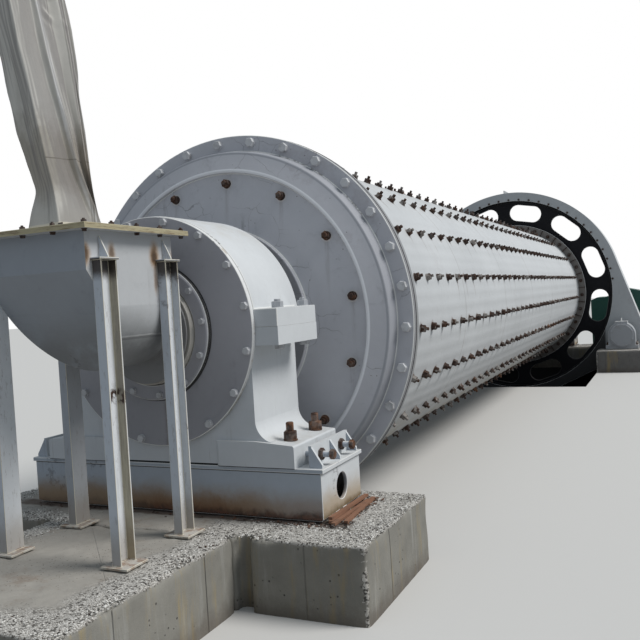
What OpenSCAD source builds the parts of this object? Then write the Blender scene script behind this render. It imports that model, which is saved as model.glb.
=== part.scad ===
// Grate-free tube ball mill with its two trunnion bearings, feed hopper and geared edge drive.
// Millimetres. +Y runs along the mill from the feed end to the drive end, +X is the pinion side
// and +Z is up. The origin lies under the feed bearing, at the bottom of its foundation pier.

/* [Mill body] */
// Outer radius of the shell plate
shell_r = 1068; // [1000:4:1070]
// Thickness of the shell plate
shell_wall = 20; // [16:2:30]
// Length of the shell over its two flanges
shell_len = 9270; // [6000:250:10000]
// How far the head flanges and the feed end's shell flange stand out from the shell
flange_w = 94; // [88:2:104]
// How far the shell flange at the gear end stands out from the shell
gear_flange_w = 120; // [100:2:140]
// Thickness of each flange
flange_t = 45; // [35:1:60]
// Gap from the feed bearing's centre to the feed head's outer face
head_gap = 576; // [560:4:700]
// Depth of the cast head from its flange to the neck
head_depth = 246; // [220:2:260]
// Thickness of the cast head wall
head_wall = 60; // [45:5:70]

/* [Trunnions] */
// Radius of the journal that runs in the bearing
journal_r = 380; // [340:5:400]
// Radius of the neck between head and journal
neck_r = 440; // [430:5:470]
// Outer radius of the trunnion's open end
nose_r = 275; // [260:5:290]
// Bore radius through the trunnion
trunnion_bore_r = 250; // [240:2:255]
// Radial oil gap between journal and bearing bore
journal_gap = 0.3; // [0.2:0.1:0.6]

/* [Trunnion bearings] */
// Length of the bearing body along the mill
bearing_len = 490; // [440:10:520]
// Outer radius of the round bearing cap
cap_r = 607; // [580:1:620]
// Half width of the bearing over its joint lugs
lug_half_w = 728; // [700:2:740]
// Height of each joint lug above and below the split
lug_h = 92; // [70:2:110]
// Distance from the lugs' back to the bearing's back face
lug_inset = 42; // [20:2:60]
// Half width of the bearing body below the lugs
body_half_w = 568; // [540:2:590]
// Half width of the bearing foot
foot_half_w = 785; // [760:5:800]
// Thickness of the bearing foot at its ends
foot_t = 102; // [80:2:110]
// Rise of the foot's top from its rounded ends to the body
foot_rise = 29; // [20:1:40]
// Radius of the round along the foot's ends
foot_round = 12; // [6:1:18]
// Thickness of the pads on the front of the foot
pad_t = 20; // [10:1:24]
// Distance from the middle to the inner edge of each pad
pad_x = 337; // [330:1:420]
// Depth from the mill axis to the underside of the foot
foot_drop = 700; // [690:5:760]
// Radius of the hollow fillet between body and foot
foot_fillet_r = 110; // [80:5:140]
// Outer radius of the round end cover
cover_r = 603; // [570:1:605]
// Thickness of the end cover
cover_t = 29; // [20:1:35]
// Outer radius of the seal ring on the cover
seal_r = 358; // [340:2:380]
// Thickness of the seal ring
seal_t = 28; // [20:1:35]
// Running gap between the trunnion's open end and its seals
seal_gap = 6; // [5:1:10]

/* [Sole boxes] */
// Reach of the welded sole box past each stop plate's middle
stop_reach = 62; // [50:1:90]
// Width of the sole box along the mill
sole_d = 490; // [470:5:540]
// Thickness of the sole box's top plate
sole_top_t = 21; // [16:1:30]
// Overhang of the top plate at each end
sole_lip = 14; // [8:1:25]
// Height of the box below its top plate
sole_h = 227; // [200:1:260]
// Plate thickness of the box's sides and ends
sole_wall = 20; // [14:2:30]
// Radius of the round hole in each end plate
sole_hole_r = 68; // [50:1:80]
// Thickness of the shim plates under the box
shim_t = 12; // [6:1:20]
// Distance from the end of the bearing foot to each stop plate's middle
stop_gap = 68; // [60:1:90]
// Height of the stop plate
stop_h = 108; // [90:2:130]
// Length of the stop plate
stop_len = 450; // [400:10:470]
// Plate thickness of stop plates and gussets
stop_t = 16; // [12:1:22]
// Distance from the stop plate's middle to each jack screw
jack_y = 125; // [80:5:150]
// Radius of each jack screw
jack_r = 16; // [12:1:20]
// How far the two shim bars stick out under one end of the box
shim_bar_out = 40; // [10:2:60]

/* [Concrete piers] */
// Half width of the bearing piers across the mill
pier_half_w = 1236; // [1150:2:1300]
// Reach of the feed pier towards the hopper
pier_front = 521; // [480:1:560]
// Reach of the feed pier towards the drum
pier_back = 410; // [330:2:430]
// Half width of the hopper's slab
slab_half_w = 570; // [540:5:640]
// Length of the hopper's slab
slab_len = 1150; // [1000:10:1300]
// Gap between the guard's lowest edge and the bottom of the foundations
pit_gap = 7; // [5:1:300]
// Width of the upright groove between slab and pier
groove_w = 85; // [60:5:110]
// Depth of the groove
groove_d = 60; // [40:5:90]

/* [Feed hopper] */
// Half width of the hopper box
hopper_half_w = 300; // [280:5:320]
// Front of the hopper, measured from the feed bearing's centre
hopper_front = 1084; // [1050:2:1120]
// Back of the hopper, measured the same way
hopper_back = 484; // [460:2:500]
// Height of the hopper's top edge above the mill axis
hopper_top = 465; // [440:5:520]
// Height of the bend in the front plate above the mill axis
hopper_bend = 300; // [280:5:320]
// Plate thickness of the hopper
hopper_wall = 8; // [6:1:12]
// Depth of the round trough below the mill axis
trough_drop = 155; // [140:5:170]
// How far the sloping front plate comes in from top to bottom
front_slope = 350; // [300:5:370]
// Overhang of the flange round the hopper's top
rim_w = 62; // [50:2:75]
// Thickness of the flange and of the lid above it
rim_t = 12; // [8:1:16]
// Outer radius of the inlet spout
spout_r = 190; // [150:1:192]
// Rise of the spout's centre above the mill axis
spout_rise = 45; // [40:1:48]
// Reach of the spout past the hopper's back, into the trunnion
spout_len = 330; // [300:5:400]
// Outer radius of the plate on the spout that covers the trunnion's end
spout_plate_r = 265; // [255:1:275]

/* [Hopper legs] */
// Depth of the channel's web
leg_web = 100; // [80:5:120]
// Width of the channel's flanges
leg_flange = 48; // [40:2:60]
// Steel thickness of the channel
leg_t = 7; // [5:1:10]
// Gap from the hopper's end to the nearer face of a leg
leg_inset = 36; // [24:2:50]
// Width of the cap plate on each leg
leg_cap = 120; // [104:2:150]
// Distance from the hopper's top edge down to the cap plates
leg_cap_drop = 115; // [100:5:140]
// Height of the gusset above each cap plate
gusset_h = 92; // [70:2:100]
// Width of the square base plates
leg_base = 140; // [130:5:170]
// Thickness of cap and base plates
leg_plate_t = 10; // [8:1:14]

/* [Canvas sleeve] */
// Width of the sleeve where it is clamped to the lid
sleeve_foot_w = 236; // [200:2:260]
// Width of the sleeve at its neck
sleeve_neck_w = 184; // [160:2:200]
// Width of the sleeve at its top
sleeve_top_w = 304; // [260:2:330]
// Height of the sleeve above the lid
sleeve_h = 1170; // [1000:10:1300]
// Wall of the solid that stands for the fabric
sleeve_wall = 6; // [4:1:10]
// Lean of the sleeve to the left at its top
sleeve_lean = 200; // [0:5:220]

/* [Girth gear] */
// Gear module
gear_module = 20; // [20:1:20]
// Number of teeth on the girth gear
gear_teeth = 167; // [167:1:167]
// Number of teeth on the pinion
pinion_teeth = 21; // [21:1:21]
// Face width of the gear and the pinion
face_w = 320; // [280:10:330]
// Thickness of the gear's web
web_t = 50; // [40:2:60]
// Distance from the web's front face to the gear's front face
web_inset = 30; // [25:1:40]
// Radial thickness of the gear's rim below the teeth
rim_depth = 62; // [50:2:70]
// Number of windows in the web
window_count = 12; // [8:1:12]
// Radius of the circle through the windows' centres
window_pitch_r = 1397; // [1380:1:1410]
// Size of a window in the radial direction
window_w = 272; // [220:2:280]
// Length of a window round the web
window_len = 530; // [480:5:560]
// Sideways play between meshing teeth
backlash = 1.6; // [1.2:0.1:2.4]
// Direction from the mill axis to the pinion, above the level
mesh_angle = -23.2; // [-30:0.1:-18]

/* [Gear guard] */
// Gap between the gear's tooth tips and the inside of the guard
guard_clear = 51; // [35:1:64]
// Gap between the pinion's tooth tips and the inside of the guard
guard_pinion_clear = 105; // [60:1:114]
// Width of the guard's front and back plates, from the eye to the outside
guard_lip = 146; // [127:1:187]
// Sideways place of the joint between the guard's two halves
guard_split_x = -70; // [-100:5:0]
// Sheet thickness of the guard
guard_t = 6; // [5:0.5:8]
// Gap between the gear's side faces and the guard's plates
guard_gap = 29; // [20:1:32]
// Height of the joint flanges outside the guard
guard_flange = 46; // [35:1:50]
// Plate thickness of the joint flanges
guard_flange_t = 8; // [6:1:12]
// Distance from the middle to the guard's feet
guard_foot_x = 650; // [500:10:800]

/* [Pinion drive] */
// Radius of the pinion shaft
shaft_r = 75; // [65:1:85]
// Radial running gap between the pinion shaft and what carries it
shaft_gap = 0.1; // [0.05:0.01:0.1]
// Radius of the round pillow block
block_r = 205; // [190:1:210]
// Length of a pillow block along the shaft
block_len = 250; // [200:5:270]
// Half width of the pillow block's foot
block_half_w = 245; // [235:5:280]
// Thickness of the pillow block's foot
block_foot_t = 60; // [40:5:80]
// Depth from the shaft down to the underside of the foot
block_drop = 222; // [205:1:260]
// Gap from the guard to the pillow blocks
block_gap = 80; // [50:5:110]
// Thickness of the pillow block's end caps
block_cap_t = 26; // [18:1:32]
// Radius of the pillow block's end caps
block_cap_r = 192; // [170:1:200]
// Half width of the pinion's pier
pinion_pier_half_w = 386; // [340:2:400]
// Reach of the pinion's pier past each pillow block
pinion_pier_apron = 190; // [80:5:220]
// Clearance between the guard and the pier under the pinion
guard_pier_gap = 50; // [30:2:60]
// Distance from the shaft to the reducer's outer gear shaft
reducer_step = 480; // [440:10:520]
// Length of the speed reducer
reducer_len = 760; // [700:10:820]
// Height of the reducer above its split line
reducer_top_h = 728; // [600:4:760]
// Distance from the pinion shaft to the reducer's left wall
reducer_left = 568; // [400:4:580]
// Distance from the motor's shaft to the reducer's right wall
reducer_right = 300; // [260:5:340]
// Radius of the motor's frame
motor_r = 360; // [320:5:400]
// Length of the motor's frame
motor_len = 1050; // [900:10:1200]

/* [Hidden] */

// Colours as the finish shows them
mill_white = "#c9ccd2";
mill_grey = "#7f858e";
bare_steel = "#8d8f90";
gear_black = "#1d1e20";
guard_grey = "#8a8f93";
concrete = "#8b857b";
drive_green = "#2f4f46";
canvas = "#c4c0b6";

big = 6000;
seat = 0.3;

// Places across the mill
stop_x = foot_half_w + stop_gap;
sole_half_w = stop_x + stop_reach;

// Gear geometry
pressure_angle = 20;
gear_pitch_r = gear_module * gear_teeth / 2;
pinion_pitch_r = gear_module * pinion_teeth / 2;
centre_distance = gear_pitch_r + pinion_pitch_r;
addendum = gear_module;
dedendum = 1.25 * gear_module;
gear_root_r = gear_pitch_r - dedendum;
rim_inner_r = gear_root_r - rim_depth;

// Radii of the flanges and of the guard
flange_r = shell_r + flange_w;
gear_flange_r = shell_r + gear_flange_w;
guard_inner_r = gear_pitch_r + addendum + guard_clear;
guard_r = guard_inner_r + guard_t;
guard_eye_r = guard_r - guard_lip;
guard_pinion_r = pinion_pitch_r + addendum + guard_pinion_clear + guard_t;

// Stations along the mill
feed_face_y = head_gap;
shell_y0 = feed_face_y + flange_t;
shell_y1 = shell_y0 + shell_len;
web_y0 = shell_y1;
web_y1 = web_y0 + web_t;
discharge_face_y = web_y1 + flange_t;
discharge_y = discharge_face_y + head_gap;
gear_y0 = web_y0 - web_inset;
gear_y1 = gear_y0 + face_w;
guard_y0 = gear_y0 - guard_gap - guard_t;
guard_y1 = gear_y1 + guard_gap + guard_t;

// Levels above the bottom of the foundations
axis_h = guard_r + guard_flange + pit_gap;
foot_z = axis_h - foot_drop;
sole_top_z = foot_z;
sole_box_z = sole_top_z - sole_top_t - sole_h;
pier_top = sole_box_z - shim_t;
hopper_rim_z = axis_h + hopper_top;
lid_top_z = hopper_rim_z + 2 * rim_t;
spout_z = axis_h + spout_rise;

// Place of the pinion, and the guard's lower edge over the pinion's pier
pinion_x = centre_distance * cos(mesh_angle);
pinion_z = axis_h + centre_distance * sin(mesh_angle);
guard_lean = acos((guard_r - guard_pinion_r) / centre_distance);
guard_low_edge = mesh_angle - guard_lean;
pier_x0 = pinion_x - pinion_pier_half_w;
guard_edge_z = axis_h + (guard_r - pier_x0 * cos(guard_low_edge)) / sin(guard_low_edge);
bridge_top_z = guard_edge_z - guard_pier_gap;

// Pinion drive stations
front_block_y1 = guard_y0 - block_gap;
front_block_y0 = front_block_y1 - block_len;
rear_block_y0 = guard_y1 + block_gap;
rear_block_y1 = rear_block_y0 + block_len;
block_top_z = pinion_z - block_drop;
coupling_r = 190;
coupling_hub_r = 130;
coupling_rim_w = 92;
coupling_len = 230;
coupling_gap = 40;
coupling_y0 = rear_block_y1 + block_cap_t + coupling_gap;
coupling_y1 = coupling_y0 + coupling_len;
coupling_mid_y = coupling_y0 + coupling_len / 2;
shaft_end_gap = 4;
reducer_gap = 60;
reducer_y0 = coupling_y1 + reducer_gap;
reducer_y1 = reducer_y0 + reducer_len;
reducer_drop = 430;
motor_x = pinion_x + reducer_step;
motor_gap = 330;
motor_y0 = reducer_y1 + motor_gap;
motor_y1 = motor_y0 + motor_len;
drive_pier_top = pinion_z - reducer_drop;

// Places a flat outline, drawn in X and Z about the mill axis, between two stations
module along(y0, y1, x = 0, z = axis_h) {
    translate([x, y1, z])
    rotate([90, 0, 0])
    linear_extrude(y1 - y0)
    children();
}

// Revolves an outline of radius and station about a line parallel to the mill axis
module turned(x = 0, z = axis_h, y = 0) {
    translate([x, y, z])
    rotate([-90, 0, 0])
    rotate_extrude($fn = 120)
    children();
}

// Carries a discharge end part from the feed end's place to its own, facing the other way
module at_discharge() {
    translate([0, discharge_y, 0])
    mirror([0, 1, 0])
    children();
}

module ring_outline(outer, inner) {
    difference() {
        circle(outer, $fn = 120);
        circle(inner, $fn = 120);
    }
}

// Mill body

module shell_solid() {
    turned()
    polygon([
        [shell_r - shell_wall, shell_y0],
        [flange_r, shell_y0],
        [flange_r, shell_y0 + flange_t],
        [shell_r, shell_y0 + flange_t],
        [shell_r, shell_y1 - flange_t],
        [gear_flange_r, shell_y1 - flange_t],
        [gear_flange_r, shell_y1],
        [shell_r - shell_wall, shell_y1]
    ]);
}

module drum_shell() {
    color(mill_white) shell_solid();
}

// Quarter of an ellipse that leaves a across the mill axis and reaches b along it
function hollow_curve(a, b, steps) = [
    for (i = [0 : steps])
        let (t = 90 * i / steps)
        [a[0] + (b[0] - a[0]) * sin(t), a[1] + (b[1] - a[1]) * (1 - cos(t))]
];

// Quarter of an ellipse that leaves a along the mill axis and reaches b across it
function crest_curve(a, b, steps) = [
    for (i = [0 : steps])
        let (t = 90 * i / steps)
        [a[0] + (b[0] - a[0]) * (1 - cos(t)), a[1] + (b[1] - a[1]) * sin(t)]
];

// Cast head: a flat bolting ring, a steep shoulder, a shallow cone out to the crest, a step back,
// the inner cone and a raised ring round the neck
bolting_ring_w = 98;
shoulder_in = 14;
shoulder_h = 92;
shoulder_round = 12;
crest_in = 138;
crest_h = 124;
crest_round = 8;
crest_step = 22;
cone_fall = 0.139;
neck_ring_w = 138;
neck_ring_h = 176;
neck_fillet = 40;

module head_solid() {
    f = feed_face_y;
    ring_in_r = flange_r - bolting_ring_w;
    shoulder_r = ring_in_r - shoulder_in;
    crest_r = ring_in_r - crest_in;
    step_r = crest_r - crest_round;
    cone_y = f - crest_h + crest_step;
    neck_ring_r = neck_r + neck_ring_w;
    ring_face_y = f - neck_ring_h;
    neck_y = f - head_depth;
    inner_r = neck_r + neck_fillet;
    turned()
    polygon(concat(
        [[flange_r, shell_y0], [flange_r, f], [ring_in_r, f]],
        crest_curve(
            [shoulder_r, f - shoulder_h + shoulder_round],
            [shoulder_r - shoulder_round, f - shoulder_h],
            4
        ),
        [[crest_r + crest_round, f - crest_h]],
        hollow_curve([crest_r + crest_round / 2, f - crest_h], [step_r, f - crest_h + crest_step / 2], 3),
        [[step_r, cone_y]],
        [[neck_ring_r, cone_y - cone_fall * (step_r - neck_ring_r)]],
        [[neck_ring_r, ring_face_y + 4], [neck_ring_r - 4, ring_face_y]],
        hollow_curve([neck_r + neck_fillet, ring_face_y], [neck_r, ring_face_y - neck_fillet], 4),
        [[neck_r, neck_y], [trunnion_bore_r, neck_y], [trunnion_bore_r, neck_y + head_wall + 30]],
        [[inner_r, cone_y - cone_fall * (step_r - inner_r) + head_wall]],
        [[step_r, cone_y + head_wall], [ring_in_r - head_wall, f - 10]],
        [[ring_in_r - head_wall, shell_y0]]
    ));
}

module feed_head() {
    color(mill_grey) head_solid();
}

module discharge_head() {
    color(mill_grey) at_discharge() head_solid();
}

nose_out = 26;
nose_y0 = -bearing_len / 2 - cover_t - seal_t - nose_out;

module trunnion_solid() {
    journal_y1 = feed_face_y - head_depth;
    nose_y1 = -bearing_len / 2 + 12;
    turned()
    polygon([
        [trunnion_bore_r, nose_y0],
        [nose_r - 4, nose_y0],
        [nose_r, nose_y0 + 4],
        [nose_r, nose_y1],
        [journal_r, nose_y1],
        [journal_r, journal_y1 - 18],
        [journal_r + 18, journal_y1],
        [trunnion_bore_r, journal_y1]
    ]);
}

module feed_trunnion() {
    color(bare_steel) trunnion_solid();
}

module discharge_trunnion() {
    color(bare_steel) at_discharge() trunnion_solid();
}

// Girth gear with involute teeth

function involute(base, r) =
    let (a = acos(min(1, base / r)))
    tan(a) * 180 / PI - a;

// Half angle of a tooth at one radius
function half_tooth(teeth, r) =
    let (
        pitch = gear_module * teeth / 2,
        base = pitch * cos(pressure_angle),
        at_pitch = 90 / teeth - backlash / 4 / pitch * 180 / PI
    )
    at_pitch + involute(base, pitch) - involute(base, max(base, r));

function tooth_radii(teeth) =
    let (
        pitch = gear_module * teeth / 2,
        root = pitch - dedendum,
        base = pitch * cos(pressure_angle),
        tip = pitch + addendum
    )
    base > root
        ? [root, base, (base + pitch) / 2, pitch, (pitch + tip) / 2, tip]
        : [root, pitch, tip];

function reversed(v) = [for (i = [len(v) - 1 : -1 : 0]) v[i]];

function polar(r, a) = [r * cos(a), r * sin(a)];

module gear_outline(teeth, start) {
    radii = tooth_radii(teeth);
    polygon([
        for (k = [0 : teeth - 1])
            let (mid = start + 360 * k / teeth)
            each concat(
                [for (r = radii) polar(r, mid - half_tooth(teeth, r))],
                [for (r = reversed(radii)) polar(r, mid + half_tooth(teeth, r))]
            )
    ]);
}

module girth_gear_rim() {
    color(gear_black)
    along(gear_y0, gear_y1)
    difference() {
        gear_outline(gear_teeth, mesh_angle);
        circle(rim_inner_r, $fn = 120);
    }
}

module window_outline() {
    half_run = (window_len - window_w) / 2;
    circle(window_w / 2, $fn = 48);
    translate([-window_w / 2, -half_run]) square([window_w, 2 * half_run]);
    translate([0, half_run]) circle(window_w / 2, $fn = 48);
    translate([0, -half_run]) circle(window_w / 2, $fn = 48);
}

// Direction of the first window's centre
window_start = 19.4;

module girth_gear_web() {
    web_in_r = shell_r - shell_wall;
    color(gear_black)
    along(web_y0, web_y1)
    difference() {
        ring_outline(rim_inner_r, web_in_r);
        for (k = [0 : window_count - 1])
            rotate(window_start + 360 * k / window_count)
            translate([window_pitch_r, 0])
            window_outline();
    }
}

// Trunnion bearing, drawn for the feed end

// Where an arc meets a straight edge they cross by this hair
tuck = 0.4;

// One side of the foot: it falls from the body to a rounded end
module foot_outline(x0) {
    z1 = -foot_drop;
    polygon([
        [x0, z1],
        [foot_half_w, z1],
        [foot_half_w, z1 + foot_t - 2 * tuck],
        [foot_half_w - 2 * tuck, z1 + foot_t],
        [foot_half_w - foot_round, z1 + foot_t + foot_round - tuck],
        [body_half_w, z1 + foot_t + foot_rise],
        [x0, z1 + foot_t + foot_rise]
    ]);
    translate([foot_half_w - foot_round, z1 + foot_t]) circle(foot_round, $fn = 32);
}

// Hollow fillet between the body's side and the foot's falling top
module foot_fillet() {
    r = foot_fillet_r;
    fall = atan((foot_rise - foot_round) / (foot_half_w - foot_round - body_half_w));
    x = body_half_w + r;
    z = -foot_drop + foot_t + foot_rise - r * tan(fall) + r / cos(fall);
    difference() {
        translate([body_half_w - 1, -foot_drop])
        square([r + 1 - r * sin(fall), z + foot_drop]);
        translate([x - tuck, z - tuck]) circle(r, $fn = 64);
    }
}

module bearing_base_outline() {
    difference() {
        union() {
            translate([-body_half_w, -foot_drop]) square([2 * body_half_w, foot_drop]);
            for (side = [0, 1])
                mirror([side, 0]) {
                    foot_outline(0);
                    foot_fillet();
                }
        }
        circle(journal_r + journal_gap, $fn = 120);
    }
}

// Pads on the front of the foot, with rounded inner edges
module foot_pads(y0) {
    for (side = [0, 1])
        mirror([side, 0, 0]) {
            along(y0 - pad_t, y0 + 1) foot_outline(pad_x + pad_t);
            translate([pad_x + pad_t, y0 + tuck, foot_z])
            cylinder(h = foot_t + foot_rise, r = pad_t, $fn = 48);
        }
}

// Lugs of one half of the bearing, on the side of the split given by up
module lug_outline(up) {
    difference() {
        translate([-lug_half_w, up > 0 ? 0 : -lug_h]) square([2 * lug_half_w, lug_h]);
        circle(journal_r + journal_gap, $fn = 120);
    }
}

module bearing_base_solid() {
    y0 = -bearing_len / 2;
    along(y0, -y0) bearing_base_outline();
    foot_pads(y0);
    along(y0, -y0 - lug_inset) lug_outline(-1);
}

module bearing_cap_solid() {
    y0 = -bearing_len / 2;
    along(y0, -y0)
    difference() {
        circle(cap_r, $fn = 120);
        circle(journal_r + journal_gap, $fn = 120);
        translate([-big / 2, -big]) square([big, big]);
    }
    along(y0, -y0 - lug_inset) lug_outline(1);
}

module bearing_cover_solid() {
    y1 = -bearing_len / 2;
    along(y1 - cover_t, y1) ring_outline(cover_r, nose_r + seal_gap);
}

module seal_ring_solid() {
    y1 = -bearing_len / 2 - cover_t;
    rim = 10;
    turned()
    polygon([
        [nose_r + seal_gap, y1 - seal_t],
        [seal_r - rim, y1 - seal_t],
        [seal_r, y1 - seal_t + rim / 2],
        [seal_r, y1],
        [nose_r + seal_gap, y1]
    ]);
}

shim_in = 12;
shim_bar_y = 150;
shim_bar_step = 90;
shim_bar_w = 45;

module sole_box_solid() {
    y0 = -sole_d / 2;
    difference() {
        union() {
            translate([-sole_half_w - sole_lip, y0 - sole_lip / 2, sole_top_z - sole_top_t])
            cube([2 * (sole_half_w + sole_lip), sole_d + sole_lip, sole_top_t]);
            translate([-sole_half_w, y0, sole_box_z])
            cube([2 * sole_half_w, sole_d, sole_h]);
            translate([-sole_half_w + shim_in, y0 + shim_in, sole_box_z - shim_t])
            cube([2 * (sole_half_w - shim_in), sole_d - 2 * shim_in, shim_t]);
            for (k = [0, 1])
                translate([0, y0 + shim_bar_y + k * shim_bar_step, sole_box_z - shim_t])
                cube([sole_half_w + shim_bar_out, shim_bar_w, shim_t]);
        }
        for (side = [-1, 1]) {
            pocket = sole_half_w / 2;
            translate([side * (sole_half_w - sole_wall - pocket / 2), 0, sole_box_z + sole_h / 2])
            cube([pocket, sole_d - 2 * sole_wall, sole_h - 2 * sole_wall], center = true);
            translate([side * sole_half_w, 0, sole_box_z + sole_h / 2])
            rotate([0, 90, 0])
            cylinder(h = 4 * sole_wall, r = sole_hole_r, center = true, $fn = 64);
        }
    }
}

module stops_solid() {
    run = sole_half_w - stop_x - stop_t / 2;
    for (side = [-1, 1]) {
        translate([side * stop_x - stop_t / 2, -stop_len / 2, sole_top_z])
        cube([stop_t, stop_len, stop_h]);
        for (k = [-1 : 1])
            translate([side * (stop_x + stop_t / 2), k * (stop_len - stop_t) / 2, sole_top_z])
            translate([0, stop_t / 2, 0])
            rotate([90, 0, 0])
            linear_extrude(stop_t)
            polygon([[0, 0], [side * run, 0], [side * run, stop_t], [0, stop_h - stop_t / 2]]);
        for (k = [-1, 1])
            translate([side * stop_x, k * jack_y, sole_top_z + foot_t / 2])
            rotate([0, 90, 0])
            cylinder(h = 2 * (stop_gap - seat), r = jack_r, center = true, $fn = 32);
    }
}

module feed_sole_box() {
    color(mill_white) sole_box_solid();
}

module feed_stops() {
    color(mill_white) stops_solid();
}

module feed_bearing_base() {
    color(mill_white) bearing_base_solid();
}

module feed_bearing_cap() {
    color(mill_white) bearing_cap_solid();
}

module feed_bearing_cover() {
    color(mill_grey) bearing_cover_solid();
}

module feed_seal_ring() {
    color(mill_grey) seal_ring_solid();
}

module discharge_sole_box() {
    color(mill_white) at_discharge() sole_box_solid();
}

module discharge_stops() {
    color(mill_white) at_discharge() stops_solid();
}

module discharge_bearing_base() {
    color(mill_white) at_discharge() bearing_base_solid();
}

module discharge_bearing_cap() {
    color(mill_white) at_discharge() bearing_cap_solid();
}

module discharge_bearing_cover() {
    color(mill_grey) at_discharge() bearing_cover_solid();
}

module discharge_seal_ring() {
    color(mill_grey) at_discharge() seal_ring_solid();
}

// Concrete piers

module feed_pier() {
    color(concrete)
    difference() {
        translate([-pier_half_w, -pier_front, 0])
        cube([2 * pier_half_w, pier_front + pier_back, pier_top]);
        for (side = [-1, 1])
            translate([side * (slab_half_w + groove_w / 2), -pier_front, pier_top / 2])
            cube([groove_w, 2 * groove_d, pier_top + 2], center = true);
    }
}

module hopper_slab() {
    color(concrete)
    translate([-slab_half_w, -pier_front - slab_len, 0])
    cube([2 * slab_half_w, slab_len, pier_top]);
}

// The discharge pier ends between the guard and the drive's own pier
discharge_pier_gap = 40;
discharge_pier_reach = 300;
pier_joint = 10;
discharge_pier_y0 = guard_y1 + discharge_pier_gap;
discharge_pier_y1 = discharge_y + discharge_pier_reach;

module discharge_pier() {
    color(concrete)
    translate([-pier_half_w, discharge_pier_y0, 0])
    cube([2 * pier_half_w, discharge_pier_y1 - discharge_pier_y0, pier_top]);
}

// Feed hopper

// Outline of the hopper from the front: straight sides and a half-round bottom
module hopper_outline(inset) {
    r = hopper_half_w - inset;
    centre = hopper_half_w - trough_drop;
    translate([0, centre]) circle(r, $fn = 96);
    translate([-r, centre]) square([2 * r, hopper_top - centre]);
}

// Side view of the space in front of the sloping front plate, moved by a plate's thickness
module front_cut(inset) {
    slope_h = hopper_bend + trough_drop;
    shift = inset * sqrt(1 + pow(front_slope / slope_h, 2));
    translate([big / 2, 0, axis_h])
    rotate([0, -90, 0])
    linear_extrude(big)
    polygon([
        [hopper_bend, -hopper_front + shift],
        [hopper_bend - 2 * slope_h, -hopper_front + shift + 2 * front_slope],
        [hopper_bend - 2 * slope_h, -2 * hopper_front],
        [hopper_bend, -2 * hopper_front]
    ]);
}

// Space inside the hopper's plates
module hopper_space() {
    difference() {
        along(-hopper_front + hopper_wall, -hopper_back - hopper_wall) {
            hopper_outline(hopper_wall);
            translate([-hopper_half_w + hopper_wall, hopper_top - rim_t])
            square([2 * (hopper_half_w - hopper_wall), 3 * rim_t]);
        }
        front_cut(hopper_wall);
    }
}

module hopper_rim_plate(z) {
    translate([0, -(hopper_front + hopper_back) / 2, z + rim_t / 2])
    cube([
        2 * (hopper_half_w + rim_w),
        hopper_front - hopper_back + 2 * rim_w,
        rim_t
    ], center = true);
}

module hopper_body() {
    color(mill_grey)
    difference() {
        union() {
            difference() {
                along(-hopper_front, -hopper_back) hopper_outline(0);
                front_cut(0);
            }
            hopper_rim_plate(hopper_rim_z);
        }
        hopper_space();
        along(-hopper_back - 2 * hopper_wall, -hopper_back + hopper_wall, 0, spout_z)
        circle(spout_r - hopper_wall, $fn = 96);
    }
}

lid_centre = [-40, -(hopper_front + hopper_back) / 2 - 60];
lid_collar_w = sleeve_neck_w - 2 * sleeve_wall - 12;
lid_collar_in = lid_collar_w - 12;
lid_collar_h = 90;

module hopper_lid() {
    color(mill_grey)
    difference() {
        union() {
            hopper_rim_plate(hopper_rim_z + rim_t);
            translate([lid_centre[0], lid_centre[1], lid_top_z + lid_collar_h / 2])
            cube([lid_collar_w, lid_collar_w, lid_collar_h], center = true);
        }
        translate([lid_centre[0], lid_centre[1], lid_top_z])
        cube([lid_collar_in, lid_collar_in, 4 * lid_collar_h], center = true);
    }
}

spout_plate_gap = 12;
spout_plate_t = 12;

module inlet_spout() {
    plate_y1 = nose_y0 - spout_plate_gap;
    color(bare_steel) {
        along(-hopper_back, -hopper_back + spout_len, 0, spout_z)
        ring_outline(spout_r, spout_r - hopper_wall);
        along(plate_y1 - spout_plate_t, plate_y1)
        difference() {
            circle(spout_plate_r, $fn = 96);
            translate([0, spout_rise]) circle(spout_r - hopper_wall / 2, $fn = 96);
        }
    }
}

leg_cap_lip = 6;
leg_back_shift = 15;

// One leg: a channel with its web against the hopper, a cap plate with a gusset and a base plate
module hopper_leg(side, y) {
    cap_z = hopper_rim_z - leg_cap_drop;
    x0 = hopper_half_w;
    mirror([side < 0 ? 1 : 0, 0, 0]) {
        translate([x0, y - leg_web / 2, pier_top]) {
            cube([leg_t, leg_web, cap_z - pier_top]);
            cube([leg_flange, leg_t, cap_z - pier_top]);
            translate([0, leg_web - leg_t, 0]) cube([leg_flange, leg_t, cap_z - pier_top]);
        }
        translate([x0, y - leg_cap / 2, cap_z - leg_plate_t])
        cube([leg_flange + leg_cap_lip, leg_cap, leg_plate_t]);
        translate([x0 + leg_flange / 2 - leg_base / 2, y - leg_base / 2, pier_top])
        cube([leg_base, leg_base, leg_plate_t]);
        translate([x0, y + leg_t / 2, cap_z])
        rotate([90, 0, 0])
        linear_extrude(leg_t)
        polygon([
            [0, 0],
            [leg_flange, 0],
            [leg_flange, leg_cap_lip],
            [leg_t, gusset_h],
            [0, gusset_h]
        ]);
    }
}

leg_front_y = -hopper_front + leg_inset + leg_web / 2;
leg_back_y = -hopper_back - leg_inset + leg_back_shift - leg_web / 2;

module hopper_leg_1() {
    color(mill_grey) hopper_leg(1, leg_front_y);
}

module hopper_leg_2() {
    color(mill_grey) hopper_leg(1, leg_back_y);
}

module hopper_leg_3() {
    color(mill_grey) hopper_leg(-1, leg_front_y);
}

module hopper_leg_4() {
    color(mill_grey) hopper_leg(-1, leg_back_y);
}

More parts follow.
